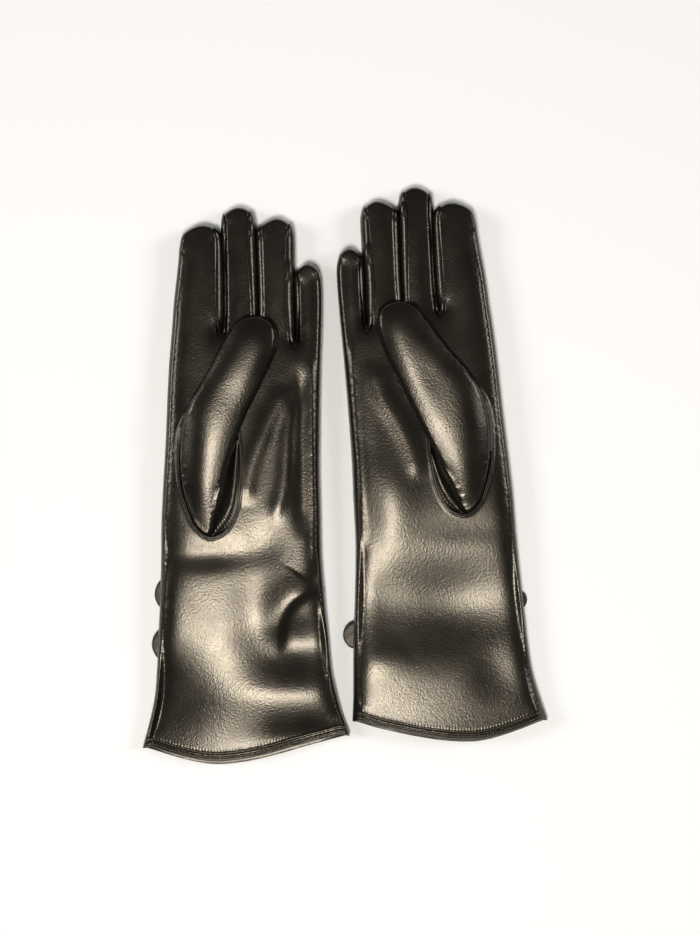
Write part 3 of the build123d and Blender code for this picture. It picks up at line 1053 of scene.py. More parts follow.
@dataclass
class Glove:
    """One glove: its leather, lining, stitching, thumb and bow."""

    lie: Lie
    finishes: dict

    def __post_init__(self) -> None:
        """Finds the glove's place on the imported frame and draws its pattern."""
        lie = self.lie
        self.side = lie.side.value
        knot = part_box(f"{self.side}_bow_knot")
        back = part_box(f"{self.side}_back_panel")
        self.place = Place((knot[0].x + knot[1].x) / 2 / MM, back[0].y / MM, lie.side is Side.RIGHT)
        self.pattern = Pattern(lie)
        self.relief = Relief(self.pattern)
        self.skins: dict[bool, np.ndarray] = {}

    def build(self, stitches: "StitchRows") -> None:
        """Makes every piece of the glove.

        Args:
            stitches: What lays the rows of stitches.
        """
        self.part_sheet(top=True)
        self.part_sheet(top=False)
        self.fourchettes()
        Thumb(self).build()
        self.inside = Inside(self)
        self.inside.hem()
        self.inside.lining()
        Bow(self).build()
        Sewing(self, stitches).build()

    def own_name(self, name: str) -> str:
        """A piece's name with its side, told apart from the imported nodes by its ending."""
        return f"{self.side}_{name}_sewn"

    def body(self, name: str) -> str:
        """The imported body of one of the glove's moving parts."""
        return f"{self.side}_{name}"

    def add(self, name: str, body: str, vertices: np.ndarray, faces: np.ndarray, normals: np.ndarray | None,
            finish: str, slot: str, nodes: tuple = (), bend: Finger | None = None) -> bpy.types.Object:
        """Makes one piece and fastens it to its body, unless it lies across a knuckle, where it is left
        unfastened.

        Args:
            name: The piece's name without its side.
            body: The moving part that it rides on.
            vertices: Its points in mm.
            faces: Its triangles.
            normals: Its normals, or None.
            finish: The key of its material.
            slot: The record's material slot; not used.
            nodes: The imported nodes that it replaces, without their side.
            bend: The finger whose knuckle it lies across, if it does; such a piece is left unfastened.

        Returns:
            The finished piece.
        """
        obj = new_piece(self.own_name(name), self.place, vertices, faces, normals, self.finishes[finish])
        if bend is None:
            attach(obj, self.body(body))
        else:
            start = self.place.point(bend.middle + 0.05, bend.knuckle + 0.7, 13.0)
            end = self.place.point(bend.middle + 17 * sin(radians(LEAN)), bend.knuckle + 17.0, 13.0)
            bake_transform(obj)
        if nodes:
            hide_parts(*(f"{self.side}_{n}" for n in nodes))
        LOG.info("%s: %d triangles", obj.name, len(faces))
        return obj

    def edge_rows(self) -> list:
        """Rows of points beside the outline, so that rolled edges and seams are crisp.

        Returns:
            The rows.
        """
        rows = [beside(self.pattern.silhouette, -offset) for offset in EDGE_OFFSETS]
        for seam in self.pattern.seams:
            rows += [beside(seam, -offset) for offset in SEAM_OFFSETS]
        return rows

    def sheet(self, top: bool) -> tuple[np.ndarray, np.ndarray, np.ndarray]:
        """The palm's or the back's whole leather before it is parted at the knuckles.

        Args:
            top: True for the palm and False for the back.

        Returns:
            Its points, triangles and outward normals.
        """
        outline = self.pattern.outline.copy()
        hem = self.pattern.hem
        if top:
            on_hem = near(hem, outline).distance < 1e-6
            outline[on_hem, 1] = self.pattern.palm_hem_y(outline[on_hem, 0])
            hem = np.column_stack([hem[:, 0], self.pattern.palm_hem_y(hem[:, 0])])
        holes = [self.pattern.hole] if top else []
        rows = self.edge_rows()
        rows += [hem + (0, q) for q in HEM_OFFSETS]
        if top:
            rows += [beside(closed(self.pattern.hole), -offset) for offset in HOLE_OFFSETS]
        rows = [self.sparse(row) for row in rows]
        cuts = [self.pattern.knuckle_cut(finger) for finger in FINGERS]
        flat, faces = flat_mesh(outline, holes, rows, cuts, SHEET_PITCH, (hem + (0, HEM_BAND), HEM_BAND))
        height = self.relief.palm(flat, faces) if top else self.relief.back(flat, faces)
        vertices = np.column_stack([flat, height])
        if not top:
            faces = faces[:, ::-1]
        normals = vertex_normals(vertices, faces)
        at = near(self.pattern.silhouette, flat)
        rim = at.distance < 1e-3
        tangent, lengths = tangents(self.pattern.silhouette), lengths_along(self.pattern.silhouette)
        spot = np.clip(np.searchsorted(lengths, at.along[rim]), 0, len(tangent) - 1)
        normals[rim] = np.column_stack([-tangent[spot, 1], tangent[spot, 0], np.zeros(rim.sum())])
        return vertices, faces, normals

    @staticmethod
    def sparse(row: np.ndarray) -> np.ndarray:
        """A row without the points that crowd each other.

        Args:
            row: The row.

        Returns:
            The points that are kept.
        """
        kept = [row[0]]
        for point in row[1:]:
            if hypot(*(point - kept[-1])) > STEP * 0.55:
                kept.append(point)
        return np.array(kept)

    def part_sheet(self, top: bool) -> None:
        """Parts the palm or the back at the knuckles and makes its five pieces.

        Args:
            top: True for the palm and False for the back.
        """
        vertices, faces, normals = self.sheet(top)
        self.skins[top] = vertices
        centres = vertices[faces].mean(1)
        owner = np.full(len(faces), -1)
        for i, finger in enumerate(FINGERS):
            cut = self.pattern.knuckle_cut(finger)
            a, b = cut[0], cut[-1]
            beyond = (b - a)[0] * (centres[:, 1] - a[1]) - (b - a)[1] * (centres[:, 0] - a[0]) > 0
            low, high = self.finger_span(i, centres[:, 1])
            owner[beyond & (centres[:, 0] > low) & (centres[:, 0] < high)] = i
        face = "front" if top else "back"
        name = "palm_panel" if top else "back_panel"
        self.add(name, "hand", *solid(vertices, faces[owner < 0], normals, LEATHER), "nappa", "nappa", (name,))
        for i, finger in enumerate(FINGERS):
            self.add(f"{finger.name}_{face}", finger.name, *solid(vertices, faces[owner == i], normals, LEATHER),
                     "nappa", "nappa", (f"{finger.name}_{face}",), finger)

    def finger_span(self, i: int, y: np.ndarray) -> tuple[np.ndarray, np.ndarray]:
        """The x between which a finger lies, from slit to slit.

        Args:
            i: The number of the finger.
            y: The heights along the glove.

        Returns:
            The lower and the higher x at each height.
        """
        low = np.full(len(y), -200.0)
        high = np.full(len(y), 200.0)
        if i > 0:
            low = self.slit_x(i - 1, y)
        if i < len(GAPS):
            high = self.slit_x(i, y)
        return low, high

    def slit_x(self, i: int, y: np.ndarray) -> np.ndarray:
        """The x of the middle of a slit at a height along the glove.

        Args:
            i: The number of the slit.
            y: The heights along the glove.

        Returns:
            One x for each height.
        """
        slit = self.pattern.slits[i]
        bottom = int(np.argmin(slit[:, 1]))
        left, right = slit[:bottom + 1][::-1], slit[bottom:]
        return (np.interp(y, left[:, 1], left[:, 0]) + np.interp(y, right[:, 1], right[:, 0])) / 2

    # -- Fourchettes ------------------------------------------------------------------------------------
    def fourchettes(self) -> None:
        """The side strips between the fingers: one root at each crotch and a leg along each finger."""
        legs: dict[str, list] = {finger.name: [] for finger in FINGERS}
        roots = []
        for i, seam in enumerate(self.pattern.seams):
            vertices, normals = self.fork(i, seam)
            rows, columns = vertices.shape[:2]
            bottom = int(np.argmin(seam[:, 1]))
            first = self.knuckle_row(seam[:bottom], FINGERS[i])
            last = bottom + self.knuckle_row(seam[bottom:], FINGERS[i + 1])
            for where, low, high in ((legs[FINGERS[i].name], 0, first), (roots, first, last),
                                     (legs[FINGERS[i + 1].name], last, rows - 1)):
                points = vertices[low:high + 1].reshape(-1, 3)
                faces = grid_faces(high + 1 - low, columns)
                where.append(solid(points, faces, normals[low:high + 1].reshape(-1, 3), LEATHER))
        self.add("fourchette_roots", "hand", *joined(roots), "nappa", "nappa", ("fourchette_roots",))
        for finger in FINGERS:
            self.add(f"{finger.name}_fourchettes", finger.name, *joined(legs[finger.name]), "nappa", "nappa",
                     (f"{finger.name}_fourchettes",), finger)

    @staticmethod
    def knuckle_row(leg: np.ndarray, finger: Finger) -> int:
        """The row of a fourchette's leg that lies on the finger's knuckle line."""
        line = finger.knuckle - sin(radians(LEAN)) * (leg[:, 0] - finger.middle)
        return int(np.argmin(np.abs(leg[:, 1] - line)))

    def fork(self, i: int, seam: np.ndarray) -> tuple[np.ndarray, np.ndarray]:
        """The surface of one folded fourchette, from the palm's seam round to the back's.

        Args:
            i: The number of the gap.
            seam: The seam's samples.

        Returns:
            Its grid of points and of normals.
        """
        slit = self.pattern.slits[i]
        lowest, bottom = int(np.argmin(slit[:, 1])), int(np.argmin(seam[:, 1]))
        left, right = slit[:lowest + 1][::-1], slit[lowest:]
        y = np.maximum(seam[:, 1], slit[lowest, 1] + 0.01)
        edge_x = np.where(np.arange(len(seam)) <= bottom, np.interp(y, left[:, 1], left[:, 0]),
                          np.interp(y, right[:, 1], right[:, 0]))
        edge = np.column_stack([edge_x, y])
        blend = ease(seam[:, 1], slit[lowest, 1] + 5.0, slit[lowest, 1] - 1.0)[:, None]
        edge = edge * (1 - blend) + (slit[lowest] + (0, 0.2)) * blend
        wide = np.linalg.norm(edge - seam, axis=1)
        angles = np.linspace(0, pi, 19)
        reach = np.sin(angles)
        grid = np.zeros((len(seam), len(angles), 3))
        relief = self.relief
        for j, angle in enumerate(angles):
            flat = seam + (edge - seam) * reach[j]
            depth = wide * (1 - reach[j])
            middle = relief.middle(flat[:, 1])
            round_ = quarter_round(depth, relief.radius(flat))
            if angle < pi / 2:
                crest = relief.crest(flat[:, 1])
                height = middle + (crest - middle) * round_ + 0.5 * (1 - bell(depth, 11.0))
            else:
                height = middle - (middle - relief.floor(flat[:, 1])) * round_
            grid[:, j, :2] = flat
            grid[:, j, 2] = height
        dip = relief.seam_dip * bell(wide[:, None] * reach[None, :], relief.seam_width)
        grid[:, :, 2] -= np.where(angles < pi / 2, dip, -0.7 * dip)
        faces = grid_faces(*grid.shape[:2])
        normals = vertex_normals(grid.reshape(-1, 3), faces).reshape(grid.shape)
        return grid, normals


def joined(parts: list) -> tuple[np.ndarray, np.ndarray, np.ndarray]:
    """Several meshes as one.

    Args:
        parts: The points, triangles and normals of each.

    Returns:
        The points, triangles and normals of all.
    """
    vertices, faces, normals, start = [], [], [], 0
    for points, triangles, directions in parts:
        vertices.append(points)
        faces.append(triangles + start)
        normals.append(directions)
        start += len(points)
    return np.vstack(vertices), np.vstack(faces), np.vstack(normals)


@dataclass
class Thumb:
    """The thumb: a tube sewn into the oval hole of the palm, lying over the palm with its tip free."""

    glove: Glove
    centre: tuple = (-19.0, 156.0)  # where the rays of the root start
    edge_radius: float = 9.5
    underside: float = 15.25  # height above the table
    seat: float = 12.2  # height of the seam allowance under the rim of the hole

    def __post_init__(self) -> None:
        """Works out the outlines that the thumb and its root share."""
        glove = self.glove
        self.outline = glove.pattern.thumb
        self.hole = glove.pattern.hole
        self.mouth_y = glove.lie.thumb_mouth
        tip = np.array(glove.lie.thumb[glove.lie.thumb_tip])
        self.axis = np.array([[-20.0, 134.0], [-18.0, 165.0], [glove.lie.thumb_bend, 185.0], tip])
        self.closed = closed(self.outline)
        corners = []
        for (x0, y0), (x1, y1) in zip(self.closed, self.closed[1:]):
            if (y0 - self.mouth_y) * (y1 - self.mouth_y) < 0:
                corners.append(x0 + (x1 - x0) * (self.mouth_y - y0) / (y1 - y0))
        self.corners = [np.array([x, self.mouth_y]) for x in sorted(corners)]
        centre = np.array(self.centre)
        turn = [float(np.arctan2(*(c - centre)[::-1])) for c in self.corners]
        low, high = turn[1], turn[0]
        across = np.linspace(low, high, 40)
        around = np.linspace(high, low + 2 * pi, 190)
        self.angles = np.concatenate([across[:-1], around[:-1]])
        self.across = len(across) - 1
        ray = np.column_stack([np.cos(self.angles), np.sin(self.angles)])
        edge = self.reach(self.outline)
        edge[:self.across] = (self.mouth_y - centre[1]) / np.sin(self.angles[:self.across])
        foot = centre + ray * edge[:, None]
        inset = 1.9 * ease(foot[:, 1], self.mouth_y, self.mouth_y - 9.0)
        self.rim = centre + ray * (self.reach(self.hole) + 0.9)[:, None]
        self.foot = foot
        self.lip = centre + ray * (edge - inset)[:, None]

    def reach(self, loop: np.ndarray) -> np.ndarray:
        """How far a loop lies from the centre along each of the root's rays.

        Args:
            loop: The loop.

        Returns:
            One distance for each ray.
        """
        off = loop - np.array(self.centre)
        turn = np.arctan2(off[:, 1], off[:, 0])
        order = np.argsort(turn)
        return np.interp(self.angles, turn[order], np.hypot(off[order, 0], off[order, 1]), period=2 * pi)

    def side_of(self, points: np.ndarray) -> np.ndarray:
        """0 at the thumb's outer edge and 1 at its edge towards the palm's middle."""
        x = np.interp(points[:, 1], self.axis[:, 1], self.axis[:, 0])
        return ease(points[:, 0] - x, -6.0, 6.0)

    def edge_height(self, points: np.ndarray) -> np.ndarray:
        """The height of the thumb's edge.

        Args:
            points: The points to measure.

        Returns:
            The height of the edge beside each point.
        """
        y = points[:, 1]
        outer = 12.9 + 6.2 * ease(y, 186.0, 214.0)
        inner = np.interp(y, [134, 142, 158, 180, 195], [12.9, 13.6, 16.0, 18.6, 19.1])
        side = self.side_of(points)
        return outer * (1 - side) + inner * side

    def top(self, points: np.ndarray) -> np.ndarray:
        """The height of the thumb's upper leather.

        Args:
            points: The points to measure.

        Returns:
            The height at each point.
        """
        at = near(self.closed, points)
        edge = self.edge_height(points)
        crest = np.interp(points[:, 1], [133, 140, 150, 165, 185, 205, 225, 240, 252, 259],
                          [15.2, 16.6, 18.4, 20.6, 22.6, 24.2, 25.7, 26.4, 26.5, 25.6])
        crest = np.maximum(crest, edge + 1.5)
        x = np.interp(points[:, 1], self.axis[:, 1], self.axis[:, 0])
        lean = ease(points[:, 1], 215.0, 170.0)
        radius = self.edge_radius + 7.0 * lean * ease(x - points[:, 0], -6.0, 6.0)
        height = edge + (crest - edge) * quarter_round(at.distance, radius)
        tip = np.array(self.glove.lie.thumb[self.glove.lie.thumb_tip])
        crease = Fold(((tip[0] - 1.0, tip[1] - 9.0), (tip[0] - 6.0, tip[1] - 22.0), (tip[0] - 13.0, tip[1] - 38.0),
                       (tip[0] - 20.0, tip[1] - 54.0)), -0.55, 2.2, 4.5, 12.0)
        waist = Swell(tip[0] - 20.0, tip[1] - 46.0, 7.0, 10.0, -0.5)
        return height + (crease.rise(points) + waist.rise(points)) * ease(at.distance, 1.0, 5.0)

    def under(self, points: np.ndarray) -> np.ndarray:
        """The height of the leather under the free part of the thumb.

        Args:
            points: The points to measure.

        Returns:
            The height at each point.
        """
        at = near(self.closed, points)
        edge = self.edge_height(points)
        return edge - (edge - self.underside) * quarter_round(at.distance, 5.0)

    def build(self) -> None:
        """Makes the thumb's leather, its root and its lining."""
        free = self.ordered()
        lower = self.lip[self.across:]
        top_loop = np.vstack([lower, self.lip[:1], free])
        bottom_loop = np.vstack([self.lip[:self.across + 1][::-1], free])
        rows = [self.glove.sparse(beside(self.closed, -offset)) for offset in THUMB_OFFSETS]
        flat, faces = flat_mesh(top_loop, [], rows, [], THUMB_PITCH)
        depth = near(self.closed, flat).distance
        height = relaxed(self.top(flat), faces, 0.9 * ease(depth, 2.0, 5.0), 50)
        top = np.column_stack([flat, height])
        top_normals = vertex_normals(top, faces)
        flat, low_faces = flat_mesh(bottom_loop, [], rows, [], UNDER_PITCH)
        low = np.column_stack([flat, self.under(flat)])
        low_faces = low_faces[:, ::-1]
        low_normals = vertex_normals(low, low_faces)
        self.level(top, top_normals)
        self.level(low, low_normals)
        whole = joined([(top, faces, top_normals), (low, low_faces, low_normals)])
        self.glove.add("thumb", "thumb", *joined([solid(top, faces, top_normals, LEATHER),
                                                  solid(low, low_faces, low_normals, LEATHER)]),
                       "nappa", "nappa", ("thumb_leather",))
        points, faces, normals = whole
        inner = points - normals * THUMB_LINING_DEPTH
        self.glove.add("thumb_lining", "thumb", *solid(inner, faces, normals, THUMB_KNIT), "lining", "lining",
                       ("thumb_lining",))
        self.root(top, top_normals)

    def ordered(self) -> np.ndarray:
        """The outline's samples beyond the mouth, from its inner corner round the tip to its outer corner.

        Returns:
            The samples in order.
        """
        beyond = self.outline[:, 1] > self.mouth_y + 0.3
        start = int(np.argmax(beyond & ~np.roll(beyond, 1)))
        rolled = np.roll(self.outline, -start, axis=0)
        return rolled[:int(beyond.sum())]

    def level(self, vertices: np.ndarray, normals: np.ndarray) -> None:
        """Turns the normals at the free edge outwards, so that top and underside shade as one.

        Args:
            vertices: The points of the skin.
            normals: Its normals, which are changed.
        """
        at = near(self.closed, vertices[:, :2])
        edge = (at.distance < 1e-3) & (vertices[:, 1] > self.mouth_y + 2.0)
        flat = normals[edge].copy()
        flat[:, 2] = 0
        normals[edge] = flat / np.linalg.norm(flat, axis=1)[:, None]

    def root(self, top: np.ndarray, top_normals: np.ndarray) -> None:
        """The root: the seam allowance, the gusset's valley and the lip that joins the thumb.

        Args:
            top: The points of the thumb's upper skin.
            top_normals: Their normals.
        """
        rows = []
        wide = np.linalg.norm(self.foot - self.rim, axis=1)
        foot_z = self.edge_height(self.foot)
        foot_z[:self.across] = self.under(self.foot[:self.across]) - 0.05
        for t in np.linspace(0, 1, 9)[:-1]:
            flat = self.rim * (1 - t) + self.foot * t
            sag = np.minimum(wide * 0.35, 2.6) * np.sin(pi * t) ** 0.8
            gather = 0.16 * np.sin(self.angles * 62.0) * sin(pi * t) * ease(flat[:, 1], 152.0, 138.0)
            rows.append(np.column_stack([flat, self.seat * (1 - t ** 3) + foot_z * t ** 3 - sag + gather]))
        for t in np.linspace(0, 1, 7):
            flat = self.foot * (1 - t) + self.lip * t
            z = self.top(flat)
            z[:self.across] = foot_z[:self.across]
            rows.append(np.column_stack([flat, z]))
        grid = np.array(rows)
        count, columns = grid.shape[:2]
        faces = grid_faces(count, columns, wrap=True)[:, ::-1]
        points = grid.reshape(-1, 3)
        normals = vertex_normals(points, faces)
        if normals[:, 2].mean() < 0:
            faces, normals = faces[:, ::-1], -normals
        tree = search_tree(top)
        for i in range((count - 1) * columns + self.across, count * columns):
            _, match, distance = tree.find(points[i])
            if distance < 0.05:
                normals[i] = top_normals[match]
        place = self.glove.place
        name = self.glove.own_name("thumb_root")
        obj = new_piece(name, place, *solid(points, faces, normals, LEATHER), self.glove.finishes["nappa"])
        self.glove.body("hand")
        self.glove.body("thumb")
        place.point(-20.0, 160.0, 12.7)
        place.point(-20.0, 160.0, 13.8)
        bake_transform(obj)
        LOG.info("%s: %d triangles", name, len(faces) * 2)


@dataclass(frozen=True)
class Tube:
    """A closed or open run of rings: points, and whether it closes on itself."""

    rings: np.ndarray
    closed: bool = False

    def mesh(self, capped: bool = True) -> tuple[np.ndarray, np.ndarray, np.ndarray]:
        """The tube's points, triangles and normals, with its ends capped if it is open.

        Args:
            capped: Whether the ends of an open tube are closed.

        Returns:
            Its points, triangles and normals.
        """
        count, columns = self.rings.shape[:2]
        rings = np.concatenate([self.rings, self.rings[:1]]) if self.closed else self.rings
        points = rings.reshape(-1, 3)
        faces = grid_faces(len(rings), columns, wrap=True)
        if self.closed:
            faces = faces % (count * columns)
            points = self.rings.reshape(-1, 3)
        elif capped:
            caps = []
            for base, flip in ((0, False), ((count - 1) * columns, True)):
                fan = [(base, base + i + 1, base + i) for i in range(1, columns - 1)]
                caps += [f[::-1] for f in fan] if flip else fan
            faces = np.vstack([faces, np.array(caps)])
        middle = self.rings.mean(1)
        i = count // 2
        a, b, c = (points[faces[i * columns][k]] for k in range(3))
        if np.cross(b - a, c - a) @ ((a + b + c) / 3 - middle[i]) < 0:
            faces = faces[:, ::-1]
        return points, faces, vertex_normals(points, faces)


def swept(path: np.ndarray, radius: float, columns: int = 10) -> tuple:
    """A round cord along a closed path.

    Args:
        path: The points of its middle line.
        radius: Its radius.
        columns: The points round it.

    Returns:
        Its points, triangles and normals.
    """
    tangent = np.roll(path, -1, axis=0) - np.roll(path, 1, axis=0)
    tangent /= np.linalg.norm(tangent, axis=1)[:, None]
    side = np.cross(tangent, (0, 0, 1.0))
    side /= np.linalg.norm(side, axis=1)[:, None]
    up = np.cross(side, tangent)
    angles = full_turn(columns)
    rings = (path[:, None] + radius * (np.cos(angles)[None, :, None] * side[:, None]
                                       + np.sin(angles)[None, :, None] * up[:, None]))
    return Tube(rings, closed=True).mesh()


@dataclass
class Inside:
    """What lines the glove: the turned hem with its facing, and the knitted lining."""

    glove: Glove
    columns: int = 96  # points round a ring

    def __post_init__(self) -> None:
        """Takes the heights of the walls that it follows."""
        self.top = self.sampler(self.glove.skins[True])
        self.bottom = self.sampler(self.glove.skins[False])

    @staticmethod
    def sampler(skin: np.ndarray) -> tuple:
        """A search tree over a skin's points."""
        return search_tree(skin[:, :2]), skin[:, 2]

    @staticmethod
    def height(sampler: tuple, x: float, y: float) -> float:
        """The height of a skin near a place.

        Args:
            sampler: The skin's tree and heights.
            x: The place across the glove.
            y: The place along it.

        Returns:
            The height in mm.
        """
        tree, heights = sampler
        found = tree.find_n((x, y, 0.0), 3)
        weights = [1 / (distance + 0.05) for _, _, distance in found]
        return sum(w * heights[i] for w, (_, i, _) in zip(weights, found)) / sum(weights)

    def ring(self, q: float, inset: float, y_from_hem: bool = True, low: float = 0.0,
             high: float = 0.0) -> np.ndarray:
        """One ring inside the glove.

        Args:
            q: Its distance above the hem, or its y.
            inset: How far inside the outer skin it lies.
            y_from_hem: Whether q is measured from the hem.
            low: The x of its left end where q is a y.
            high: The x of its right end where q is a y.

        Returns:
            Its points, counter-clockwise as seen from the hem.
        """
        pattern, relief = self.glove.pattern, self.glove.relief
        if y_from_hem:
            low, high = pattern.hem[:, 0].min(), pattern.hem[:, 0].max()
            corner = [pattern.hem_y(np.array([x]))[0] + 1.3 + q for x in (low, high)]
            low = float(pattern.width_at(np.array([corner[0]]))[0][0]) + inset + 0.6
            high = float(pattern.width_at(np.array([corner[1]]))[1][0]) - inset - 0.6
        points = []
        for angle in full_turn(self.columns):
            upper = sin(angle) > 0
            across = abs(cos(angle)) ** 0.72 * (1 if cos(angle) > 0 else -1)
            x = (low + high) / 2 + (high - low) / 2 * across
            rise = abs(sin(angle)) ** 0.8
            y = q
            if y_from_hem:
                y = float(pattern.hem_y(np.array([x]))[0]) + q + 1.3 + (1.3 * rise if upper else -1.3 * rise)
            middle = float(relief.middle(np.array([y]))[0])
            span = min(1.0, rise * 1.25)
            wall = self.height(self.top if upper else self.bottom, x, y)
            wall += -inset if upper else inset
            if upper and not y_from_hem:
                away = hypot((x + 17.5) / 23.0, (y - 171.0) / 45.0)
                wall -= 4.6 * float(ease(np.array([away]), 1.25, 0.85)[0])
            points.append((x, y, middle + (wall - middle) * span))
        return np.array(points)

    def hem(self) -> None:
        """The turned edge of the cuff and the facing behind it."""
        section = [(15.0, 1.7), (10.0, 1.7), (6.0, 1.7), (3.0, 1.75)]
        for angle in np.linspace(-pi / 2, pi / 2, 9):
            section.append((1.0 - 1.05 * cos(angle), 0.75 - 1.0 * sin(angle)))
        section += [(1.8, -0.12), (2.3, 0.3)]
        rings = np.array([self.ring(q, inset) for q, inset in section])
        count, columns = rings.shape[:2]
        faces = grid_faces(count, columns, wrap=True)
        points = rings.reshape(-1, 3)
        normals = vertex_normals(points, faces)
        tip = 8 * columns
        if normals[tip:tip + columns, 1].mean() > 0:
            faces, normals = faces[:, ::-1], -normals
        self.glove.add("turned_hem", "hand", *solid(points, faces, normals, FACING), "nappa_facing",
                       "nappa_facing", ("cuff_facing",))

    def lining(self) -> None:
        """The knitted lining of the hand and of each finger."""
        ys = np.linspace(38.0, 236.0, 34)
        thumb_x, little_x = self.glove.pattern.width_at(ys)
        rings = [self.ring(14.2, 2.0), self.ring(18.0, LINING_DEPTH), self.ring(22.0, LINING_DEPTH)]
        for y, low, high in zip(ys, thumb_x, little_x):
            rings.append(self.ring(float(y), LINING_DEPTH, False, low + 2.0, high - 2.0))
        points, faces, normals = Tube(np.array(rings)).mesh(capped=False)
        self.glove.add("hand_lining", "hand", *solid(points, faces, normals, KNIT), "lining", "lining",
                       ("hand_lining",))
        for i, finger in enumerate(FINGERS):
            self.finger_lining(i, finger)

    def finger_lining(self, i: int, finger: Finger) -> None:
        """One finger's lining: a closed sleeve from the knuckle to the tip.

        Args:
            i: The number of the finger.
            finger: The finger.
        """
        tip = max(point[1] for point in finger.end) - 1.8
        ys = np.concatenate([np.linspace(finger.knuckle + 0.4, tip - 7, 12), tip - 7 * (1 - np.sin(
            np.linspace(0.15, 1.5, 8)))])
        low, high = self.glove.finger_span(i, ys)
        thumb_x, little_x = self.glove.pattern.width_at(ys)
        low, high = np.maximum(low, thumb_x), np.minimum(high, little_x)
        relief = self.glove.relief
        rings = []
        for y, a, b in zip(ys, low, high):
            shrink = float(quarter_round(np.array([tip - y]), 7.0)[0]) * 0.96 + 0.04
            half = ((b - a) / 2 - 3.6) * shrink
            top = float(relief.crest(np.array([y]))[0]) - 1.7
            bottom = float(relief.floor(np.array([y]))[0]) + 1.5
            tall, level = (top - bottom) / 2 * (0.35 + 0.65 * shrink), (top + bottom) / 2
            angles = full_turn(SLEEVE_COLUMNS)
            rings.append(np.column_stack([(a + b) / 2 + half * np.cos(angles), np.full(SLEEVE_COLUMNS, y),
                                          level + tall * np.sin(angles)]))
        points, faces, _ = Tube(np.array(rings)).mesh(capped=False)
        end = np.array([rings[-1].mean(0)])
        start = len(points) - SLEEVE_COLUMNS
        cap = np.array([(start + k, start + (k + 1) % SLEEVE_COLUMNS, len(points)) for k in range(SLEEVE_COLUMNS)])
        forward = np.cross(points[cap[0][1]] - points[cap[0][0]], end[0] - points[cap[0][0]])[1] > 0
        points = np.vstack([points, end])
        faces = np.vstack([faces, cap if forward else cap[:, ::-1]])
        sleeve = solid(points, faces, vertex_normals(points, faces), KNIT)
        self.glove.add(f"{finger.name}_lining", finger.name, *sleeve, "lining", "lining",
                       (f"{finger.name}_lining",), finger)


@dataclass(frozen=True)
class Stitch:
    """The sizes of a row of stitches, in mm."""

    pitch: float = 1.75
    length: float = 1.2
    radius: float = 0.37
    lean: float = 0.18  # radians that a stitch may stray


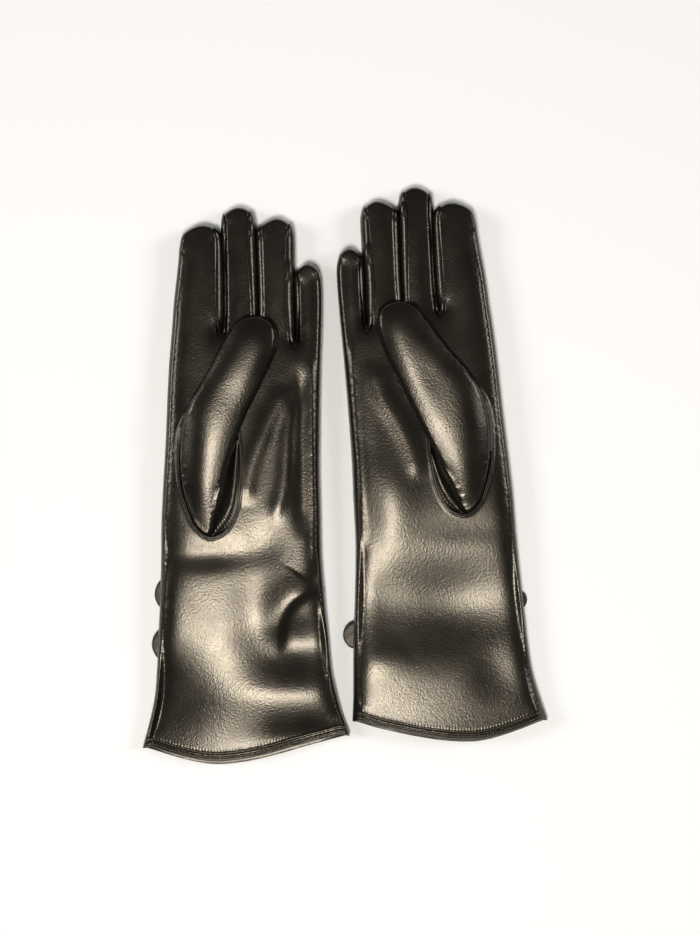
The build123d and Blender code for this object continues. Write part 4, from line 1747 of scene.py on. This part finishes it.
@dataclass
class StitchRows:
    """Lays separate stitches along lines with Geometry Nodes."""

    material: bpy.types.Material

    def __post_init__(self) -> None:
        """Builds the node group once."""
        self.tree = bpy.data.node_groups.new("stitches", "GeometryNodeTree")
        face = self.tree.interface
        face.new_socket("Geometry", in_out="INPUT", socket_type="NodeSocketGeometry")
        for name in ("Pitch", "Length", "Radius", "Stray"):
            face.new_socket(name, in_out="INPUT", socket_type="NodeSocketFloat")
        face.new_socket("Seed", in_out="INPUT", socket_type="NodeSocketInt")
        face.new_socket("Thread", in_out="INPUT", socket_type="NodeSocketMaterial")
        face.new_socket("Geometry", in_out="OUTPUT", socket_type="NodeSocketGeometry")
        tree = self.tree
        given = node(tree, "NodeGroupInput").outputs
        along = node(tree, "GeometryNodeCurveToPoints", {"Curve": given["Geometry"], "Length": given["Pitch"]},
                     mode="LENGTH")
        ball = node(tree, "GeometryNodeMeshUVSphere", {"Segments": 8, "Rings": 6, "Radius": 1.0})
        half = node(tree, "ShaderNodeMath", {0: given["Length"], 1: 0.5}, operation="MULTIPLY")
        shape = node(tree, "ShaderNodeCombineXYZ", {"X": given["Radius"], "Y": given["Radius"],
                                                    "Z": half.outputs[0]})
        minus = node(tree, "ShaderNodeMath", {0: given["Stray"], 1: -1.0}, operation="MULTIPLY")
        stray = node(tree, "FunctionNodeRandomValue", {"Seed": given["Seed"]}, data_type="FLOAT")
        tree.links.new(minus.outputs[0], stray.inputs[2])
        tree.links.new(given["Stray"], stray.inputs[3])
        tilt = node(tree, "ShaderNodeCombineXYZ", {"X": stray.outputs[1], "Y": stray.outputs[1]})
        turned = node(tree, "FunctionNodeRotateRotation", {"Rotation": along.outputs["Rotation"],
                                                           "Rotate By": tilt.outputs[0]}, rotation_space="LOCAL")
        laid = node(tree, "GeometryNodeInstanceOnPoints", {
            "Points": along.outputs["Points"], "Instance": ball.outputs["Mesh"], "Rotation": turned.outputs[0],
            "Scale": shape.outputs[0]})
        real = node(tree, "GeometryNodeRealizeInstances", {"Geometry": laid.outputs[0]})
        smooth = node(tree, "GeometryNodeSetShadeSmooth", {"Geometry": real.outputs[0]})
        dressed = node(tree, "GeometryNodeSetMaterial",
                       {"Geometry": smooth.outputs[0], "Material": given["Thread"]})
        node(tree, "NodeGroupOutput", {"Geometry": dressed.outputs[0]})

    def lay(self, name: str, lines: list, place: Place, sizes: Stitch) -> bpy.types.Object:
        """Lays stitches along lines and returns them as one mesh piece.

        Args:
            name: The piece's name.
            lines: The lines in the glove's frame, in mm.
            place: Where the glove lies.
            sizes: The stitches' sizes.

        Returns:
            The new piece.
        """
        curve = bpy.data.curves.new(name, "CURVE")
        curve.dimensions = "3D"
        for line in lines:
            spline = curve.splines.new("POLY")
            spline.points.add(len(line) - 1)
            spline.points.foreach_set("co", np.column_stack([place.world(line), np.ones(len(line))]).ravel())
        row = linked(name + "_line", curve)
        modifier = row.modifiers.new("stitches", "NODES")
        modifier.node_group = self.tree
        values = {"Pitch": sizes.pitch * MM, "Length": sizes.length * MM, "Radius": sizes.radius * MM,
                  "Stray": sizes.lean, "Seed": SEED, "Thread": self.material}
        for socket in self.tree.interface.items_tree:
            if socket.name in values:
                modifier[socket.identifier] = values[socket.name]
        row.update_tag()
        graph = bpy.context.evaluated_depsgraph_get()
        mesh = bpy.data.meshes.new_from_object(row.evaluated_get(graph), depsgraph=graph)
        row.modifiers.clear()
        bpy.data.objects.remove(row)
        mesh.name = name
        mesh.materials.clear()
        mesh.materials.append(self.material)
        return linked(name, mesh)


@dataclass(frozen=True)
class BowEnd:
    """One loop or tail of the bow: the place and radius of its end, and whether it is a tail."""

    x: float
    y: float
    radius: float
    tail: bool


BOWS = {
    Side.LEFT: (BowEnd(-52.2, 103.5, 11, False), BowEnd(45.0, 103.0, 10, False), BowEnd(-55.0, 67.5, 11, True),
                BowEnd(45.5, 62.0, 9.5, True)),
    Side.RIGHT: (BowEnd(-48.5, 106.0, 10, False), BowEnd(45.0, 101.0, 10, False), BowEnd(-53.4, 81.0, 6, True),
                 BowEnd(53.2, 61.0, 8.5, True)),
}


@dataclass
class Bow:
    """The flat leather bow on the back of the wrist: two loops, two tails and the knot."""

    glove: Glove
    middle: tuple = (0.0, 84.0)
    thickness: float = 2.7

    def build(self) -> None:
        """Makes the bow's pieces."""
        ends = BOWS[self.glove.lie.side]
        for name, tail in (("bow_loops", False), ("bow_tails", True)):
            parts = [self.leaf(end) for end in ends if end.tail == tail]
            self.glove.add(name, "hand", *joined(parts), "bow", "bow", (name,))
        self.glove.add("bow_knot", "hand", *self.knot(), "bow", "bow", ("bow_knot",))

    def leaf(self, end: BowEnd) -> tuple:
        """A pleated pillow from the knot to one end.

        Args:
            end: The end that it runs to.

        Returns:
            Its points, triangles and normals.
        """
        start, stop = np.array(self.middle), np.array([end.x, end.y])
        along = stop - start
        length = float(np.linalg.norm(along))
        along /= np.linalg.norm(along)
        across = np.array([-along[1], along[0]])
        rows = []
        columns = 48
        for t in np.concatenate([np.linspace(0.02, 0.8, 22), 0.8 + 0.2 * np.sin(np.linspace(0.1, 1.5, 10))]):
            wide = 3.2 + (end.radius - 3.2) * float(ease(np.array([t]), 0.0, 0.72)[0])
            wide *= float(quarter_round(np.array([(1 - t) * length]), end.radius)[0]) * 0.97 + 0.03
            angles = full_turn(columns)
            v = np.cos(angles)
            swell = np.abs(np.sin(angles)) ** 0.6 * np.sign(np.sin(angles))
            pleat = 0.22 * np.cos(v * (9.0 if end.tail else 13.0) + end.x * 0.1) * (1 - t) ** 0.5
            thick = self.thickness / 2 * (0.72 + 0.28 * sin(pi * t)) * (0.3 + 0.7 * min(1.0, wide / 4.0))
            layer = 0.25 if end.tail else -0.1
            z = 1.9 + layer * 0.5 + swell * thick * 0.92 + pleat * np.abs(swell)
            centre = start + along * length * t
            flat = centre + across * (v * wide)[:, None]
            rows.append(np.column_stack([flat, np.clip(z, 0.25, 3.35)]))
        return Tube(np.array(rows)).mesh()

    def knot(self) -> tuple:
        """The knot: a small padded band across the middle.

        Returns:
            Its points, triangles and normals.
        """
        columns = 40
        rows = []
        for t in np.linspace(-1, 1, 25):
            half = 7.6 * (1 - 0.16 * (1 - abs(t)) ** 2)
            edge = float(quarter_round(np.array([(1 - abs(t)) * 12.0]), 2.2)[0]) * 0.9 + 0.1
            angles = full_turn(columns)
            sine, cosine = np.sin(angles), np.cos(angles)
            x = self.middle[0] + half * np.sign(cosine) * np.abs(cosine) ** 0.5 * (0.85 + 0.15 * edge)
            z = 1.75 + 1.5 * edge * np.sign(sine) * np.abs(sine) ** 0.5 + 0.12 * np.cos(cosine * 8) * edge
            rows.append(np.column_stack([x, np.full(columns, self.middle[1] + 12.0 * t), np.clip(z, 0.15, 3.4)]))
        return Tube(np.array(rows)).mesh()


@dataclass
class Sewing:
    """The glove's visible seams: the welt round the thumb's hole and the rows of stitches."""

    glove: Glove
    rows: StitchRows

    def on_palm(self, line: np.ndarray, lift: float) -> np.ndarray:
        """A line laid on the palm's skin."""
        z = [Inside.height(self.glove.inside.top, x, y) + lift for x, y in line]
        return np.column_stack([line, z])

    def on_back(self, line: np.ndarray, lift: float) -> np.ndarray:
        """A line laid on the back's skin."""
        z = [Inside.height(self.glove.inside.bottom, x, y) - lift for x, y in line]
        return np.column_stack([line, z])

    def build(self) -> None:
        """Makes the welt and the stitches."""
        pattern = self.glove.pattern
        welt = self.on_palm(beside(closed(pattern.hole), 0.0)[:-1], 0.0)
        welt[:, 2] = np.convolve(np.concatenate([welt[-3:, 2], welt[:, 2], welt[:3, 2]]), np.ones(7) / 7, "valid")
        welt[:, 2] += WELT_LIFT
        self.glove.add("thumb_welt", "hand", *swept(welt, WELT_RADIUS), "nappa_welt", "nappa_welt",
                       ("thumb_welt",))
        hem = pattern.hem[::-1]
        palm = np.column_stack([hem[:, 0], pattern.palm_hem_y(hem[:, 0])])
        keep = (hem[:, 0] > hem[0, 0] + 3) & (hem[:, 0] < hem[-1, 0] - 3)
        lines = [self.on_palm(palm[keep] + (0, q), 0.38) for q in STITCH_LINES]
        lines += [self.on_back(hem[keep] + (0, q), 0.1) for q in STITCH_LINES]
        self.row("hem_stitching", lines, Stitch())
        side = beside(pattern.thumb_side, -1.2)
        side = side[(side[:, 1] > 20.0) & (side[:, 1] < 282.0)]
        self.row("side_seam", [self.on_palm(side, 0.1)], Stitch(pitch=1.6, length=1.1, radius=0.2))

    def row(self, name: str, lines: list, sizes: Stitch) -> None:
        """Lays one piece of stitching on the hand.

        Args:
            name: The piece's name without its side.
            lines: The lines of stitches, in mm.
            sizes: The stitches' sizes.
        """
        obj = self.rows.lay(self.glove.own_name(name), lines, self.glove.place, sizes)
        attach(obj, self.glove.body("hand"))
        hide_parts(f"{self.glove.side}_{name}")
        LOG.info("%s: %d faces", obj.name, len(obj.data.polygons))


@dataclass(frozen=True)
class Studio:
    """The pale floor, the soft lights and the camera straight above."""

    view_middle: tuple = (8.2, 5.2)  # mm
    view_height: float = 535.5  # mm of table from the top to the bottom of the view
    camera_height: float = 1.012  # m
    roll: float = 2.0  # degrees

    def build(self) -> None:
        """Makes the floor, lights and camera."""
        self.camera()
        self.floor()
        self.light("key", (-0.14, -0.42, 1.62), 0.38, 14.0, "#fffaf4")
        self.light("fill_left", (-2.3, 0.5, 1.5), 0.9, 17.0, "#ffffff")
        self.light("fill_right", (2.3, 0.5, 1.5), 0.9, 17.0, "#ffffff")
        world = bpy.data.worlds.new("studio")
        world.use_nodes = True
        world.node_tree.nodes["Background"].inputs["Color"].default_value = (1, 1, 1, 1)
        world.node_tree.nodes["Background"].inputs["Strength"].default_value = 0.08
        bpy.context.scene.world = world
        bpy.context.scene.view_settings.view_transform = "Standard"
        bpy.context.scene.view_settings.exposure = 0.45

    def camera(self) -> None:
        """A long lens that looks straight down, slightly rolled."""
        data = bpy.data.cameras.new("camera")
        data.lens = data.sensor_width * (self.camera_height - 0.012) / (self.view_height * MM)
        obj = linked("camera", data)
        obj.location = (self.view_middle[0] * MM, self.view_middle[1] * MM, self.camera_height)
        obj.rotation_euler = (0, 0, radians(-self.roll))
        bpy.context.scene.camera = obj

    def floor(self) -> None:
        """A wide pale sheet of paper under the gloves."""
        mesh = bpy.data.meshes.new("floor")
        half = 8.0
        corners = [(-half, -half, 0), (half, -half, 0), (half, half, 0), (-half, half, 0)]
        mesh.from_pydata(corners, [], [(0, 1, 2, 3)])
        material, _, shader, _ = start_material("paper")
        shader.inputs["Base Color"].default_value = linear("#fcfcfb")
        shader.inputs["Roughness"].default_value = 0.9
        mesh.materials.append(material)
        obj = linked("floor", mesh)

    def light(self, name: str, where: tuple, size: float, power: float, colour: str) -> None:
        """A square softbox that faces the gloves.

        Args:
            name: Its name.
            where: Its place in metres.
            size: The length of its sides in metres.
            power: Its power in watts.
            colour: Its colour as sRGB hex.
        """
        data = bpy.data.lights.new(name, "AREA")
        data.size = size
        data.energy = power
        data.color = linear(colour)[:3]
        obj = linked(name, data)
        obj.location = where
        obj.rotation_euler = (-Vector(where)).to_track_quat("-Z", "Y").to_euler()


def main() -> None:
    """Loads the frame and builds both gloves."""
    logging.basicConfig(level=logging.INFO, format="%(message)s")
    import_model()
    Studio().build()
    finishes = {
        "nappa": Nappa().build(),
        "nappa_welt": Nappa("nappa_welt", roughness=0.25, grain_depth=0.03).build(),
        "nappa_facing": Nappa("nappa_facing", roughness=0.3, grain_depth=0.06).build(),
        # The bow's nappa is painted darker than the glove's: painted shade, since the bow lies under the glove.
        "bow": Nappa("bow_nappa", shade="#060505", lit="#0b0a09", roughness=0.45, glaze=0.02).build(),
        "thread": Thread().build(),
        "lining": SilkKnit().build(),
    }
    stitches = StitchRows(finishes["thread"])
    for lie in LIES:
        Glove(lie, finishes).build(stitches)


if __name__ == "__main__":
    main()
